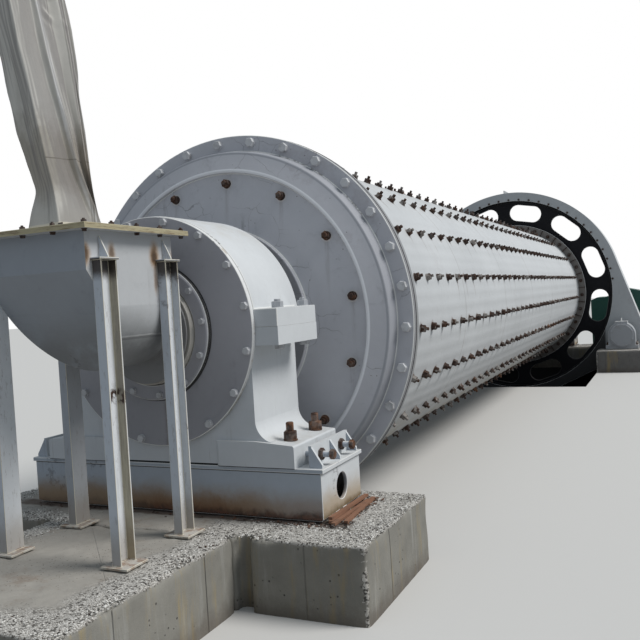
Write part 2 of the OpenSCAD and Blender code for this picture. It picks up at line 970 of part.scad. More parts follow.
// Canvas sleeve: square sections with round corners, from the lid's collar to the spigot ring
sleeve_sections = [
    [0, sleeve_foot_w],
    [0.16, sleeve_neck_w],
    [0.5, (sleeve_neck_w + sleeve_top_w) / 2],
    [1, sleeve_top_w]
];

function sleeve_ring_points(t, w, steps) =
    let (
        lean = sleeve_lean * pow(t, 1.3),
        z = lid_top_z + seat + sleeve_h * t,
        c = w * 0.22,
        h = w / 2 - c
    )
    [
        for (q = [0 : 3], i = [0 : steps])
            let (
                a = 90 * q + 90 * i / steps,
                sx = (q == 0 || q == 3) ? 1 : -1,
                sy = q < 2 ? 1 : -1
            )
            [
                lid_centre[0] - lean + sx * h + c * cos(a),
                lid_centre[1] + sy * h + c * sin(a),
                z
            ]
    ];

module canvas_sleeve() {
    steps = 3;
    n = 4 * (steps + 1);
    m = len(sleeve_sections);
    outer = [for (s = sleeve_sections) each sleeve_ring_points(s[0], s[1], steps)];
    inner = [
        for (s = sleeve_sections)
            each sleeve_ring_points(s[0], s[1] - 2 * sleeve_wall, steps)
    ];
    o = n * m;
    faces = concat(
        [
            for (k = [0 : m - 2], i = [0 : n - 1])
                let (j = (i + 1) % n)
                [k * n + i, k * n + n + i, k * n + n + j, k * n + j]
        ],
        [
            for (k = [0 : m - 2], i = [0 : n - 1])
                let (j = (i + 1) % n)
                [o + k * n + i, o + k * n + j, o + k * n + n + j, o + k * n + n + i]
        ],
        [
            for (i = [0 : n - 1])
                let (j = (i + 1) % n)
                [i, j, o + j, o + i]
        ],
        [
            for (i = [0 : n - 1])
                let (j = (i + 1) % n, t = (m - 1) * n)
                [t + i, o + t + i, o + t + j, t + j]
        ]
    );
    color(canvas) polyhedron(points = concat(outer, inner), faces = faces, convexity = 4);
}

module sleeve_ring() {
    w = sleeve_top_w + 8;
    z = lid_top_z + 2 * seat + sleeve_h;
    color(bare_steel)
    translate([lid_centre[0] - sleeve_lean, lid_centre[1], z + 20])
    difference() {
        cube([w, w, 40], center = true);
        cube([w - 40, w - 40, 42], center = true);
    }
}

// Gear guard: front and back plates with a large eye, and a wrapper round gear and pinion

// Outline of two circles joined by their outer tangents, tucked in by a hair where they meet
module guard_outline(r1, r2) {
    p = polar(centre_distance, mesh_angle);
    circle(r1, $fn = 160);
    translate(p) circle(r2, $fn = 96);
    polygon([
        polar(r1 - 2 * tuck, mesh_angle + guard_lean),
        p + polar(r2 - 2 * tuck, mesh_angle + guard_lean),
        p,
        p + polar(r2 - 2 * tuck, mesh_angle - guard_lean),
        polar(r1 - 2 * tuck, mesh_angle - guard_lean),
        [0, 0]
    ]);
}

guard_foot_reach = 80;
guard_foot_lip = 30;
guard_foot_t = 12;
guard_foot_overlap = 60;

// Height of the guard's underside at a distance from the middle
function guard_under(x) = axis_h - sqrt(pow(guard_r, 2) - pow(x, 2));

// Two plates and a base plate under one side of the guard
module guard_foot(x, base_z, top_z) {
    depth = guard_y1 - guard_y0 - 2 * guard_t;
    base = guard_foot_reach + guard_foot_lip;
    translate([x - base, guard_y0 + guard_t, base_z]) cube([2 * base, depth, guard_foot_t]);
    for (end = [-1, 1])
        translate([x + end * guard_foot_reach - guard_foot_t / 2, guard_y0 + guard_t, base_z])
        cube([guard_foot_t, depth, top_z - base_z]);
}

guard_joint_h = guard_flange + 10;

module guard_half(side) {
    shaft_clear = shaft_r + 2 * seal_gap;
    color(guard_grey)
    difference() {
        union() {
            along(guard_y0, guard_y1) guard_outline(guard_r, guard_pinion_r);
            for (end = [-1, 1])
                translate([
                    guard_split_x - guard_flange_t,
                    guard_y0,
                    axis_h + end * (guard_r + guard_flange - guard_joint_h / 2) - guard_joint_h / 2
                ])
                cube([2 * guard_flange_t, guard_y1 - guard_y0, guard_joint_h]);
            guard_foot(
                side * guard_foot_x,
                0,
                guard_under(guard_foot_x + guard_foot_reach) + guard_foot_overlap
            );
            if (side > 0)
                guard_foot(pinion_x, bridge_top_z, pinion_z - guard_pinion_r + guard_foot_overlap);
        }
        along(guard_y0 + guard_t, guard_y1 - guard_t)
        guard_outline(guard_inner_r, guard_pinion_r - guard_t);
        along(guard_y0 - 1, guard_y1 + 1) circle(guard_eye_r, $fn = 160);
        along(guard_y0 - 1, guard_y1 + 1, pinion_x, pinion_z) circle(shaft_clear, $fn = 64);
        translate([guard_split_x - (side > 0 ? big : 0), guard_y0 - 10, -big / 4])
        cube([big, guard_y1 - guard_y0 + 20, big]);
    }
}

module guard_right() {
    guard_half(1);
}

module guard_left() {
    guard_half(-1);
}

// Pinion and its shaft

module pinion() {
    color(gear_black)
    along(gear_y0, gear_y1, pinion_x, pinion_z)
    difference() {
        gear_outline(pinion_teeth, mesh_angle + 180 + 180 / pinion_teeth);
        circle(shaft_r, $fn = 64);
    }
}

module pinion_shaft() {
    color(bare_steel)
    along(front_block_y0 + 6, coupling_mid_y - shaft_end_gap, pinion_x, pinion_z)
    circle(shaft_r, $fn = 64);
}

module reducer_shaft() {
    color(bare_steel)
    along(coupling_mid_y + shaft_end_gap, reducer_y0 - hub_out + hub_bore - 10, pinion_x, pinion_z)
    circle(shaft_r, $fn = 64);
}

module pinion_coupling() {
    half = coupling_len / 2;
    color(bare_steel)
    turned(pinion_x, pinion_z, coupling_y0)
    polygon([
        [shaft_r, 0],
        [coupling_hub_r, 0],
        [coupling_hub_r, half - coupling_rim_w / 2],
        [coupling_r, half - coupling_rim_w / 2],
        [coupling_r, half + coupling_rim_w / 2],
        [coupling_hub_r, half + coupling_rim_w / 2],
        [coupling_hub_r, coupling_len],
        [shaft_r, coupling_len]
    ]);
}

block_boss_w = 190;
block_boss_h = 12;

module block_outline() {
    difference() {
        union() {
            circle(block_r, $fn = 96);
            translate([-block_boss_w / 2, 0]) square([block_boss_w, block_r + block_boss_h]);
            translate([-block_r, -block_drop]) square([2 * block_r, block_drop]);
            translate([-block_half_w, -block_drop]) square([2 * block_half_w, block_foot_t]);
        }
        circle(shaft_r + shaft_gap, $fn = 64);
    }
}

module pinion_front_block() {
    color(bare_steel)
    along(front_block_y0, front_block_y1, pinion_x, pinion_z)
    block_outline();
}

module pinion_front_cap() {
    color(bare_steel)
    turned(pinion_x, pinion_z, front_block_y0 - block_cap_t)
    polygon([
        [0, 0],
        [block_cap_r - 22, 0],
        [block_cap_r - 14, 8],
        [block_cap_r, 8],
        [block_cap_r, block_cap_t],
        [0, block_cap_t]
    ]);
}

module pinion_rear_block() {
    color(bare_steel) {
        along(rear_block_y0, rear_block_y1, pinion_x, pinion_z)
        block_outline();
        along(rear_block_y1 - 1, rear_block_y1 + block_cap_t, pinion_x, pinion_z)
        ring_outline(block_cap_r, shaft_r + seal_gap);
    }
}

// Both pillow blocks stand on one pier, which passes low under the guard
module pinion_pier() {
    y0 = front_block_y0 - pinion_pier_apron;
    slot_y0 = guard_y0 - guard_pier_gap;
    slot_y1 = guard_y1 + guard_pier_gap;
    color(concrete)
    difference() {
        translate([pier_x0, y0, 0])
        cube([2 * pinion_pier_half_w, rear_block_y1 + 90 - y0, block_top_z]);
        translate([pier_x0 - 1, slot_y0, bridge_top_z])
        cube([2 * pinion_pier_half_w + 2, slot_y1 - slot_y0, block_top_z]);
    }
}

// Reducer and motor behind the pinion

reducer_base_lip = 40;
reducer_base_t = 50;
reducer_joint_lip = 30;
reducer_joint_t = 56;
reducer_hub_r = 150;

// Outline of the reducer's top as pairs of a distance and a share of its height. The distances
// run in from the right wall, from the pinion shaft, and in from the left wall.
reducer_right_top = [[0, 0.5], [90, 0.68]];
reducer_crown = [[235, 0.935], [42, 1], [-328, 0.811]];
reducer_left_top = [[100, 0.811], [0, 0.751]];
hub_out = 34;
hub_bore = 80;
drive_pier_lip = 60;

module drive_pier() {
    x0 = pinion_x - reducer_left - reducer_base_lip - drive_pier_lip;
    x1 = motor_x + motor_r + 2 * drive_pier_lip;
    y0 = discharge_pier_y1 + pier_joint;
    color(concrete)
    translate([x0, y0, 0])
    cube([x1 - x0, motor_y1 + drive_pier_lip - y0, drive_pier_top]);
}

module speed_reducer() {
    x0 = pinion_x - reducer_left;
    x1 = motor_x + reducer_right;
    base_y = reducer_base_lip / 2;
    joint_y = reducer_joint_lip / 2;
    color(drive_green)
    difference() {
        union() {
            translate([x0, reducer_y0, drive_pier_top])
            cube([x1 - x0, reducer_len, reducer_drop]);
            translate([x0 - reducer_base_lip, reducer_y0 - base_y, drive_pier_top])
            cube([x1 - x0 + 2 * reducer_base_lip, reducer_len + 2 * base_y, reducer_base_t]);
            translate([x0 - reducer_joint_lip, reducer_y0 - joint_y, pinion_z - reducer_joint_t / 2])
            cube([x1 - x0 + 2 * reducer_joint_lip, reducer_len + 2 * joint_y, reducer_joint_t]);
            along(reducer_y0 + 10, reducer_y1 - 10, 0, pinion_z)
            polygon(concat(
                [[x0, 0], [x1, 0]],
                [for (p = reducer_right_top) [x1 - p[0], reducer_top_h * p[1]]],
                [for (p = reducer_crown) [pinion_x + p[0], reducer_top_h * p[1]]],
                [for (p = reducer_left_top) [x0 + p[0], reducer_top_h * p[1]]]
            ));
            for (x = [pinion_x, motor_x])
                along(reducer_y0 - hub_out, reducer_y1 + hub_out, x, pinion_z)
                circle(reducer_hub_r, $fn = 64);
        }
        along(reducer_y0 - hub_out - 1, reducer_y0 - hub_out + hub_bore, pinion_x, pinion_z)
        circle(shaft_r + shaft_gap, $fn = 64);
    }
}

fast_shaft_r = 45;
fast_coupling_r = 125;

module motor_coupling() {
    color(bare_steel) {
        along(reducer_y1 + hub_out, motor_y0, motor_x, pinion_z) circle(fast_shaft_r, $fn = 48);
        along(reducer_y1 + 100, motor_y0 - 90, motor_x, pinion_z) circle(fast_coupling_r, $fn = 64);
    }
}

motor_shield_len = 60;
motor_shield_in = 40;
motor_foot_w = 620;
motor_foot_in = 120;
terminal_box = [170, 320, 260];
terminal_box_y = 300;

module drive_motor() {
    foot_h = reducer_drop - motor_r + motor_foot_in;
    color(drive_green) {
        along(motor_y0 + motor_shield_len, motor_y1 - motor_shield_len, motor_x, pinion_z)
        circle(motor_r, $fn = 96);
        for (y = [motor_y0, motor_y1 - motor_shield_len - 1])
            along(y, y + motor_shield_len + 1, motor_x, pinion_z)
            circle(motor_r - motor_shield_in, $fn = 96);
        translate([motor_x - motor_foot_w / 2, motor_y0 + motor_foot_in, drive_pier_top])
        cube([motor_foot_w, motor_len - 2 * motor_foot_in, foot_h]);
        translate([
            motor_x + motor_r - motor_shield_len,
            motor_y0 + terminal_box_y,
            pinion_z - terminal_box[2] / 2
        ])
        cube(terminal_box);
    }
}

feed_pier();
hopper_slab();
feed_sole_box();
feed_stops();
feed_bearing_base();
feed_bearing_cap();
feed_bearing_cover();
feed_seal_ring();
hopper_body();
hopper_lid();
inlet_spout();
hopper_leg_1();
hopper_leg_2();
hopper_leg_3();
hopper_leg_4();
canvas_sleeve();
sleeve_ring();
drum_shell();
feed_head();
feed_trunnion();
girth_gear_web();
girth_gear_rim();
discharge_head();
discharge_trunnion();
discharge_pier();
discharge_sole_box();
discharge_stops();
discharge_bearing_base();
discharge_bearing_cap();
discharge_bearing_cover();
discharge_seal_ring();
guard_left();
guard_right();
pinion();
pinion_shaft();
pinion_coupling();
reducer_shaft();
pinion_pier();
pinion_front_block();
pinion_front_cap();
pinion_rear_block();
drive_pier();
speed_reducer();
motor_coupling();
drive_motor();
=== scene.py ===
"""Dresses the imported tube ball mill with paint, rust, bolts, concrete and canvas.

Metres, in the part's own frame: Y runs along the mill from the feed end to the drive end, +X is the
pinion side and Z is up.
"""

import math

import bmesh
import bpy
import numpy as np
from mathutils import Matrix, Vector, noise


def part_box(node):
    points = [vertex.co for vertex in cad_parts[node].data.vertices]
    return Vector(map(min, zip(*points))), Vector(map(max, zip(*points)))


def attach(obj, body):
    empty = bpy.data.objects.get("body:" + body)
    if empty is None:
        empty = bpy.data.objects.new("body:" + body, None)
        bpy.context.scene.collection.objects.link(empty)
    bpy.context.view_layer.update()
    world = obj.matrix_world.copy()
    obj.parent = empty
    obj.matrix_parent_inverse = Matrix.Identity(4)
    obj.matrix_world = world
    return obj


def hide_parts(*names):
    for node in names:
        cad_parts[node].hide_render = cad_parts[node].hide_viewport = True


bl_info = {
    "name": "Tube ball mill dressing",
    "version": (1, 0, 0),
    "blender": (4, 5, 0),
    "location": "3D View > Sidebar > Ball mill",
    "description": "Paint, fasteners, concrete and canvas for a packed ball mill",
    "category": "Object",
}

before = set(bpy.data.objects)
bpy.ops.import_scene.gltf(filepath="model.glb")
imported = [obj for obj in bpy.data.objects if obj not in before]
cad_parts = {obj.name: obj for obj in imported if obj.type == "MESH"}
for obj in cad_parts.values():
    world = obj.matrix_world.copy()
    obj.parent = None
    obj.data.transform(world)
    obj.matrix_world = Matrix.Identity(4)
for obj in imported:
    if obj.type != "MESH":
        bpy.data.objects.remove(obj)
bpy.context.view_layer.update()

BASE = "mill_base"
DRUM = "mill_drum"
PINION = "pinion_set"

X, Y, Z = 0, 1, 2


def middle(node, axis):
    """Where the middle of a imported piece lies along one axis."""
    low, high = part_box(node)
    return (low[axis] + high[axis]) / 2


SHELL_LOW, SHELL_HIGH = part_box("drum_shell")
AXIS_Z = middle("drum_shell", Z)
PINION_X, PINION_Z = middle("pinion", X), middle("pinion", Z)
DISCHARGE_Y = middle("discharge_bearing_base", Y)
BASE_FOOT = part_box("feed_bearing_base")[0].z
GROUND_Z = 0.48  # the ground in the photograph
PIER_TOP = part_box("feed_pier")[1].z
PIER_HALF, PIER_BACK = (round(size, 4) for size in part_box("feed_pier")[1][:2])
PIER_FRONT = round(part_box("feed_pier")[0].y, 4)
SLAB_HALF = round(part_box("hopper_slab")[1].x, 4)
SLAB_FRONT = round(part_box("hopper_slab")[0].y, 4)
SEAL_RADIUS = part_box("feed_seal_ring")[1].x
HOPPER_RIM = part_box("hopper_body")[1].z
LEG_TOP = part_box("hopper_leg_1")[1].z
SLEEVE_LEAN, SLEEVE_CURVE = 0.2, 1.3  # how far the sleeve's top lies towards -X, and by what power
SLEEVE_FOOT_X = middle("sleeve_ring", X) + SLEEVE_LEAN
SLEEVE_Y = middle("sleeve_ring", Y)
VIEW_X, VIEW_Y = 0.718, 0.696  # the sleeve's folds are laid out across and towards this direction
HUB_RADIUS = 0.578  # where the feed head's hub begins
PLATE = 1.545  # length of each plate of the shell, from weld seam to weld seam
FLANGE = 0.045  # thickness of the drum's flanges
FLANGE_RIM = 1.16  # radius at which the edge of a flange begins
GEAR_WEB = 0.05  # thickness of the girth gear's web
LUG_X, LUG_HALF = 0.668, 0.092  # the bearing's lugs: where their bolts stand, and half their height
COVER_CIRCLE, SEAL_CIRCLE = 0.576, 0.332  # bolt circles of the bearing cover and the seal ring
GUARD_CIRCLE, CAP_CIRCLE, COUPLING_CIRCLE = 1.622, 0.168, 0.160
MOTOR_RADIUS = 0.36
HOPPER_BEND = 1.8  # where the hopper's straight sides turn into the trough
BOARD = 0.61  # width of a form board on the concrete


class MillSizes(bpy.types.PropertyGroup):
    """Sizes of the fasteners and other small pieces."""

    shell_radius: bpy.props.FloatProperty(
        name="Shell radius", description="Outer radius of the shell plate",
        default=1.068, min=0.5, unit="LENGTH")
    liner_rows: bpy.props.IntProperty(
        name="Liner bolt rows", description="Rows of liner bolts round the shell", default=21, min=3)
    liner_first: bpy.props.FloatProperty(
        name="First row angle", description="Angle of one row above the level on the pinion side",
        default=math.radians(11.9), unit="ROTATION")
    liner_count: bpy.props.IntProperty(
        name="Liner bolts per row", description="Bolts in one row", default=35, min=2)
    liner_start: bpy.props.FloatProperty(
        name="First liner bolt", description="Station of a row's first bolt",
        default=1.006, unit="LENGTH")
    liner_step: bpy.props.FloatProperty(
        name="Liner bolt spacing", description="Distance between two bolts of a row",
        default=0.25, min=0.1, unit="LENGTH")
    flange_bolt_circle: bpy.props.FloatProperty(
        name="Flange bolt circle", description="Radius of the bolt circle on the drum's flanges",
        default=1.117, unit="LENGTH")
    flange_bolts: bpy.props.IntProperty(
        name="Flange bolts", description="Bolts in each flange of the drum", default=30, min=6)
    flange_first: bpy.props.FloatProperty(
        name="First flange bolt", description="Angle of one flange bolt above the level",
        default=math.radians(128.65), unit="ROTATION")
    head_bolt_circle: bpy.props.FloatProperty(
        name="Head bolt circle", description="Radius of the bolt circle on the cast heads",
        default=0.852, unit="LENGTH")
    head_bolts: bpy.props.IntProperty(
        name="Head bolts", description="Liner bolts through each cast head", default=14, min=4)
    head_first: bpy.props.FloatProperty(
        name="First head bolt", description="Angle of one head bolt above the level",
        default=math.radians(111.5), unit="ROTATION")
    stones: bpy.props.IntProperty(
        name="Bare stones", description="Stones that stand out of the worn edges of the feed pier",
        default=8500, min=0)
    concrete_grain: bpy.props.FloatProperty(
        name="Concrete grain", description="Voxel size of the cast concrete's surface",
        default=0.016, min=0.008, unit="LENGTH")


class MillColours(bpy.types.PropertyGroup):
    """Colours of the paints and other finishes."""

    shell: bpy.props.FloatVectorProperty(
        name="Shell paint", description="Light grey paint of the shell",
        subtype="COLOR", default=(0.58, 0.60, 0.615))
    head: bpy.props.FloatVectorProperty(
        name="Head paint", description="Grey paint of the cast heads",
        subtype="COLOR", default=(0.53, 0.535, 0.57))
    cover: bpy.props.FloatVectorProperty(
        name="Cover paint", description="Grey paint of the bearing covers and seal rings",
        subtype="COLOR", default=(0.41, 0.41, 0.445))
    bearing: bpy.props.FloatVectorProperty(
        name="Bearing paint", description="White grey paint of the trunnion bearings",
        subtype="COLOR", default=(0.60, 0.625, 0.645))
    hopper: bpy.props.FloatVectorProperty(
        name="Hopper paint", description="Paint of the hopper and its legs",
        subtype="COLOR", default=(0.48, 0.495, 0.51))
    gear: bpy.props.FloatVectorProperty(
        name="Gear paint", description="Black paint of the girth gear",
        subtype="COLOR", default=(0.012, 0.012, 0.014))
    guard: bpy.props.FloatVectorProperty(
        name="Guard paint", description="Grey paint of the gear guard",
        subtype="COLOR", default=(0.42, 0.44, 0.455))
    drive: bpy.props.FloatVectorProperty(
        name="Drive paint", description="Green paint of reducer and motor",
        subtype="COLOR", default=(0.022, 0.10, 0.075))
    canvas: bpy.props.FloatVectorProperty(
        name="Canvas", description="Grey canvas of the feed sleeve",
        subtype="COLOR", default=(0.475, 0.465, 0.435))
    concrete: bpy.props.FloatVectorProperty(
        name="Concrete", description="Grey concrete of the piers",
        subtype="COLOR", default=(0.25, 0.242, 0.215))


class Wire:
    """An output of a shader node. Operators on it add Math nodes."""

    def __init__(self, finish, socket):
        self.finish = finish
        self.socket = socket

    def math(self, operation, first, second=None):
        """Adds a Math node on one or two values or wires."""
        inputs = {0: first} if second is None else {0: first, 1: second}
        return self.finish.node("ShaderNodeMath", {"operation": operation}, inputs)

    def __add__(self, other):
        return self.math("ADD", self, other)

    __radd__ = __add__

    def __sub__(self, other):
        return self.math("SUBTRACT", self, other)

    def __rsub__(self, other):
        return self.math("SUBTRACT", other, self)

    def __mul__(self, other):
        return self.math("MULTIPLY", self, other)

    __rmul__ = __mul__

    def __truediv__(self, other):
        return self.math("DIVIDE", self, other)

    def __mod__(self, other):
        return self.math("FLOORED_MODULO", self, other)

    def __abs__(self):
        return self.math("ABSOLUTE", self)

    def __pow__(self, other):
        return self.math("POWER", self, other)

    def __rtruediv__(self, other):
        return self.math("DIVIDE", other, self)

    def __rmod__(self, other):
        return self.math("FLOORED_MODULO", other, self)

    def __rpow__(self, other):
        return self.math("POWER", other, self)

    def most(self, other):
        return self.math("MAXIMUM", self, other)

    def least(self, other):
        return self.math("MINIMUM", self, other)


class Finish:
    """A material that is being put together."""

    def __init__(self, name, tone=None):
        self.tone, self.height = tone, None
        self.material = bpy.data.materials.new("dressed_" + name)
        self.material.use_nodes = True
        self.tree = self.material.node_tree
        self.tree.nodes.clear()
        self.spot = self.node("ShaderNodeTexCoord", output="Object")
        self.x, self.y, self.z = self.split(self.spot)

    def node(self, kind, settings=None, inputs=None, output=0):
        """Adds a node with its settings and the values or wires of its inputs, and gives one output."""
        node = self.tree.nodes.new(kind)
        for key, value in (settings or {}).items():
            setattr(node, key, value)
        for key, value in (inputs or {}).items():
            if isinstance(value, Wire):
                self.tree.links.new(value.socket, node.inputs[key])
            else:
                node.inputs[key].default_value = value
        return Wire(self, node.outputs[output])

    def split(self, vector):
        """The three parts of a vector."""
        return [self.node("ShaderNodeSeparateXYZ", inputs={0: vector}, output=i) for i in range(3)]

    def facing(self, axis):
        """How far the surface faces along one axis, from -1 to 1, in the piece's own frame."""
        return self.split(self.node("ShaderNodeTexCoord", output="Normal"))[axis]

    def front(self, low=0.4, high=0.7):
        """1 on the faces that look at the feed end."""
        return self.ease(self.facing(Y) * -1.0, low, high)

    def inside(self, value, low, high, soft=0.004):
        """1 where a value lies between two others, and 0 outside."""
        return self.ease(value, low - soft, low) * self.fade(value, high, high + soft)

    def radius(self):
        """Distance from the mill's axis."""
        return distance(self.x, self.z - AXIS_Z)

    def angle(self, across, up):
        """The angle round an axis of a point that lies so far across and up from it."""
        return self.node("ShaderNodeMath", {"operation": "ARCTAN2"}, {0: up, 1: across})

    def stretched(self, x, y, z):
        """The place on the piece, with each axis stretched by a factor."""
        return self.node("ShaderNodeVectorMath", {"operation": "MULTIPLY"}, {0: self.spot, 1: (x, y, z)})

    def cloud(self, scale, detail=3.0, rough=0.55, at=None, bend=0.0):
        """Soft noise round 0.5."""
        inputs = {"Vector": at or self.spot, "Scale": scale, "Detail": detail,
                  "Roughness": rough, "Distortion": bend}
        return self.node("ShaderNodeTexNoise", inputs=inputs)

    def cells(self, scale, feature="F1", output="Distance", at=None):
        """A pattern of cells: the distance to their centres or edges, or a colour for each."""
        inputs = {"Vector": at or self.spot, "Scale": scale}
        return self.node("ShaderNodeTexVoronoi", {"feature": feature}, inputs, output)

    def ease(self, value, low, high, start=0.0, end=1.0):
        """Goes smoothly from start to end while a value rises from low to high."""
        inputs = {"Value": value, "From Min": low, "From Max": high, "To Min": start, "To Max": end}
        return self.node("ShaderNodeMapRange", {"interpolation_type": "SMOOTHSTEP"}, inputs)

    def fade(self, value, low, high, depth=1.0):
        """Falls by depth from 1 while a value rises from low to high."""
        return 1.0 - self.ease(value, low, high, end=depth)

    def patches(self, scale, low, high, detail=5.0, rough=0.7, at=None, bend=0.0):
        """Blotches, from 0 where a cloud is under low to 1 where it is over high."""
        return self.ease(self.cloud(scale, detail, rough, at, bend), low, high)

    def streaks(self, x, y, z, low, high, detail=5.0, rough=0.7):
        """Blotches squeezed by a factor along each axis."""
        return self.patches(1.0, low, high, detail, rough, self.stretched(x, y, z))

    def mix(self, factor, first, second):
        """Blends two colours, the second one as far as factor says."""
        inputs = {0: factor, 6: solid(first), 7: solid(second)}
        return self.node("ShaderNodeMix", {"data_type": "RGBA"}, inputs, output=2)

    def tint(self, colour, amount):
        """A colour made lighter or darker by a value round 1."""
        colour = colour if isinstance(colour, Wire) else colour[:3]
        return self.node("ShaderNodeVectorMath", {"operation": "SCALE"}, {0: colour, "Scale": amount})

    def stain(self, mask, colour):
        """Lays a colour over the tone so far, as far as a mask lets it."""
        self.tone = self.mix(mask, self.tone, colour)

    def close(self, roughness, height=None, distance=0.001, metallic=0.0, shine=0.5):
        """Ends the material in a surface of the tone so far, with bumps of a height map."""
        inputs = {"Base Color": solid(self.tone), "Roughness": roughness, "Metallic": metallic,
                  "Specular IOR Level": shine}
        if height is not None:
            inputs["Normal"] = self.node(
                "ShaderNodeBump", inputs={"Height": height, "Distance": distance, "Strength": 1.0})
        return self.show(self.node("ShaderNodeBsdfPrincipled", inputs=inputs))

    def show(self, surface):
        """Joins a surface to the material's output."""
        output = self.tree.nodes.new("ShaderNodeOutputMaterial")
        self.tree.links.new(surface.socket, output.inputs["Surface"])
        return self.material


def solid(colour):
    """A colour as the four numbers of a socket, or the wire that it already is."""
    return colour if isinstance(colour, Wire) else (*colour[:3], 1.0)


def distance(across, up):
    """How far a point lies from an axis, from its two offsets."""
    return (across * across + up * up) ** 0.5


RUST = (0.105, 0.042, 0.022)
DARK_RUST = (0.042, 0.019, 0.013)
ORANGE_RUST = (0.255, 0.115, 0.055)
# GRIME_AND_SHADE is the grime of streaks and cracks, and also part of the painted shade on the front faces.
GRIME_AND_SHADE = (0.06, 0.052, 0.042)
DUST = (0.50, 0.475, 0.43)


def mill_paint(name, colour, grime, streaks, rust=0.0, gloss=0.42, chips=0.0, cracks=0.0, extra=None):
    """Brushed machine paint that has stood outdoors.

    grime, streaks, rust, chips and cracks say how much of each shows, from 0 to 1. extra adds the marks
    of one piece to the finish.
    """
    f = Finish(name)
    broad = f.cloud(1.3, 4.0, 0.6)
    fine = f.cloud(22.0, 3.0)
    f.tone = f.tint(colour, 0.86 + broad * 0.22 + fine * 0.08)
    f.height = f.cloud(160.0, 2.0) * 0.35 + fine * 0.65
    upward = f.facing(Z)
    upright = 1.0 - abs(upward)
    runs = f.streaks(26.0, 26.0, 1.1, 0.52, 0.78, 4.0, 0.65)
    patches = f.patches(2.2, 0.5, 0.72, bend=0.6)
    f.stain(runs * patches * upright * streaks, GRIME_AND_SHADE)
    smudge = f.patches(5.5, 0.55, 0.78, 6.0, 0.72, bend=1.2)
    f.stain(smudge * grime * 0.55, f.tint(colour, 0.45))
    dusty = f.ease(upward, 0.6, 0.95) * f.patches(9.0, 0.35, 0.7)
    f.stain(dusty * 0.45, DUST)
    if cracks:
        noise_inputs = {"Vector": f.spot, "Scale": 4.0, "Detail": 4.0}
        shift = f.tint(f.node("ShaderNodeTexNoise", inputs=noise_inputs, output="Color"), 0.16)
        bent = f.node("ShaderNodeVectorMath", {"operation": "ADD"}, {0: f.spot, 1: shift})
        edge = f.cells(4.2, "DISTANCE_TO_EDGE", at=bent)
        line = f.fade(edge, 0.001, 0.007)
        line = line * f.patches(1.7, 0.47, 0.56, 3.0, 0.55)
        f.stain(line * cracks, GRIME_AND_SHADE)
        f.height -= line * 0.8
    if rust or chips:
        spots = f.cloud(34.0, 7.0, 0.75)
        region = f.patches(2.6, 0.5, 0.68, 4.0, 0.6)
        if chips:
            chip = f.ease(spots * 0.7 + region * 0.3, 0.66, 0.69)
            f.stain(chip * chips, DARK_RUST)
            f.height -= chip * 0.9
        if rust:
            bloom = f.ease(spots * 0.55 + region * 0.45, 0.6, 0.8)
            f.stain(bloom * rust, RUST)
    if extra:
        extra(f)
    rough = gloss + broad * 0.16 + smudge * 0.2
    f.close(rough, f.height, 0.0012)


def front_shade(f, amount, colour=(0.80, 0.88, 1.0)):
    """Painted shade on the faces that look at the feed end: a darker, bluer colour, mixed towards the grime
    colour.
    """
    front = f.front(0.45, 0.85)
    f.tone = f.node("ShaderNodeMix", {"data_type": "RGBA", "blend_type": "MULTIPLY"},
                    {0: front * amount, 6: solid(f.tone), 7: solid(colour)}, output=2)
    f.stain(front * amount * 0.35, GRIME_AND_SHADE)


def bearing_marks(f):
    """Painted shade on the front faces, a painted shadow in the open joint under the bearing's foot between
    its two pads, and drips.
    """
    front_shade(f, 0.3, (0.86, 0.90, 0.98))
    # Painted shadow: a near black line in the open gap under the foot, on the front faces.
    joint = f.fade(f.z - BASE_FOOT, 0.008, 0.010) * f.fade(abs(f.x), 0.330, 0.340)
    joint = joint.most(f.fade(f.z - BASE_FOOT + f.cloud(6.0) * 0.006, 0.005, 0.007))
    joint = joint * f.front()
    f.stain(joint, (0.005, 0.005, 0.005))
    drip = f.streaks(30.0, 30.0, 1.5, 0.56, 0.7)
    drip = drip * f.ease(abs(f.facing(Z)) * -1.0, -0.5, -0.1) * f.patches(2.2, 0.45, 0.6, 3.0, 0.55)
    f.stain(drip * 0.4, (0.24, 0.22, 0.19))


def sole_marks(f):
    """Painted shade on the front of the sole box, a painted shade line under its top plate, and rust and
    stains along its foot.
    """
    front_shade(f, 0.85)
    # Painted shade: a dark line under the edge of the top plate.
    line = f.inside(f.z, BASE_FOOT - 0.026, BASE_FOOT - 0.0215, 0.001)
    f.stain(line * 0.85, (0.02, 0.02, 0.02))
    foot = BASE_FOOT - 0.26
    edge = f.z + (f.cloud(5.0, 6.0, 0.72, bend=0.5) - 0.5) * 0.13
    haze = f.fade(edge, foot + 0.05, foot + 0.19) * f.fade(f.x, 0.35, 0.95, 0.45)
    f.stain(haze * 0.8, (0.27, 0.165, 0.06))
    rusty = f.fade(edge, foot + 0.03, foot + 0.13) * f.fade(f.x, 0.25, 0.7, 0.75)
    rusty = rusty * f.ease(f.x, -0.35, 0.0, 0.25)
    f.stain(rusty * 0.8, (0.17, 0.072, 0.026))
    scab = f.fade(edge, foot + 0.012, foot + 0.055) * f.ease(f.x, -0.35, 0.0, 0.4)
    flakes = f.mix(f.patches(26.0, 0.4, 0.62), (0.035, 0.016, 0.011), (0.12, 0.045, 0.022))
    f.stain(scab * 0.9, flakes)
    end = f.ease(f.facing(X), 0.5, 0.9) * f.fade(edge, foot + 0.04, foot + 0.17)
    f.stain(end * 0.3, (0.50, 0.38, 0.18))
    f.height -= scab * 0.6


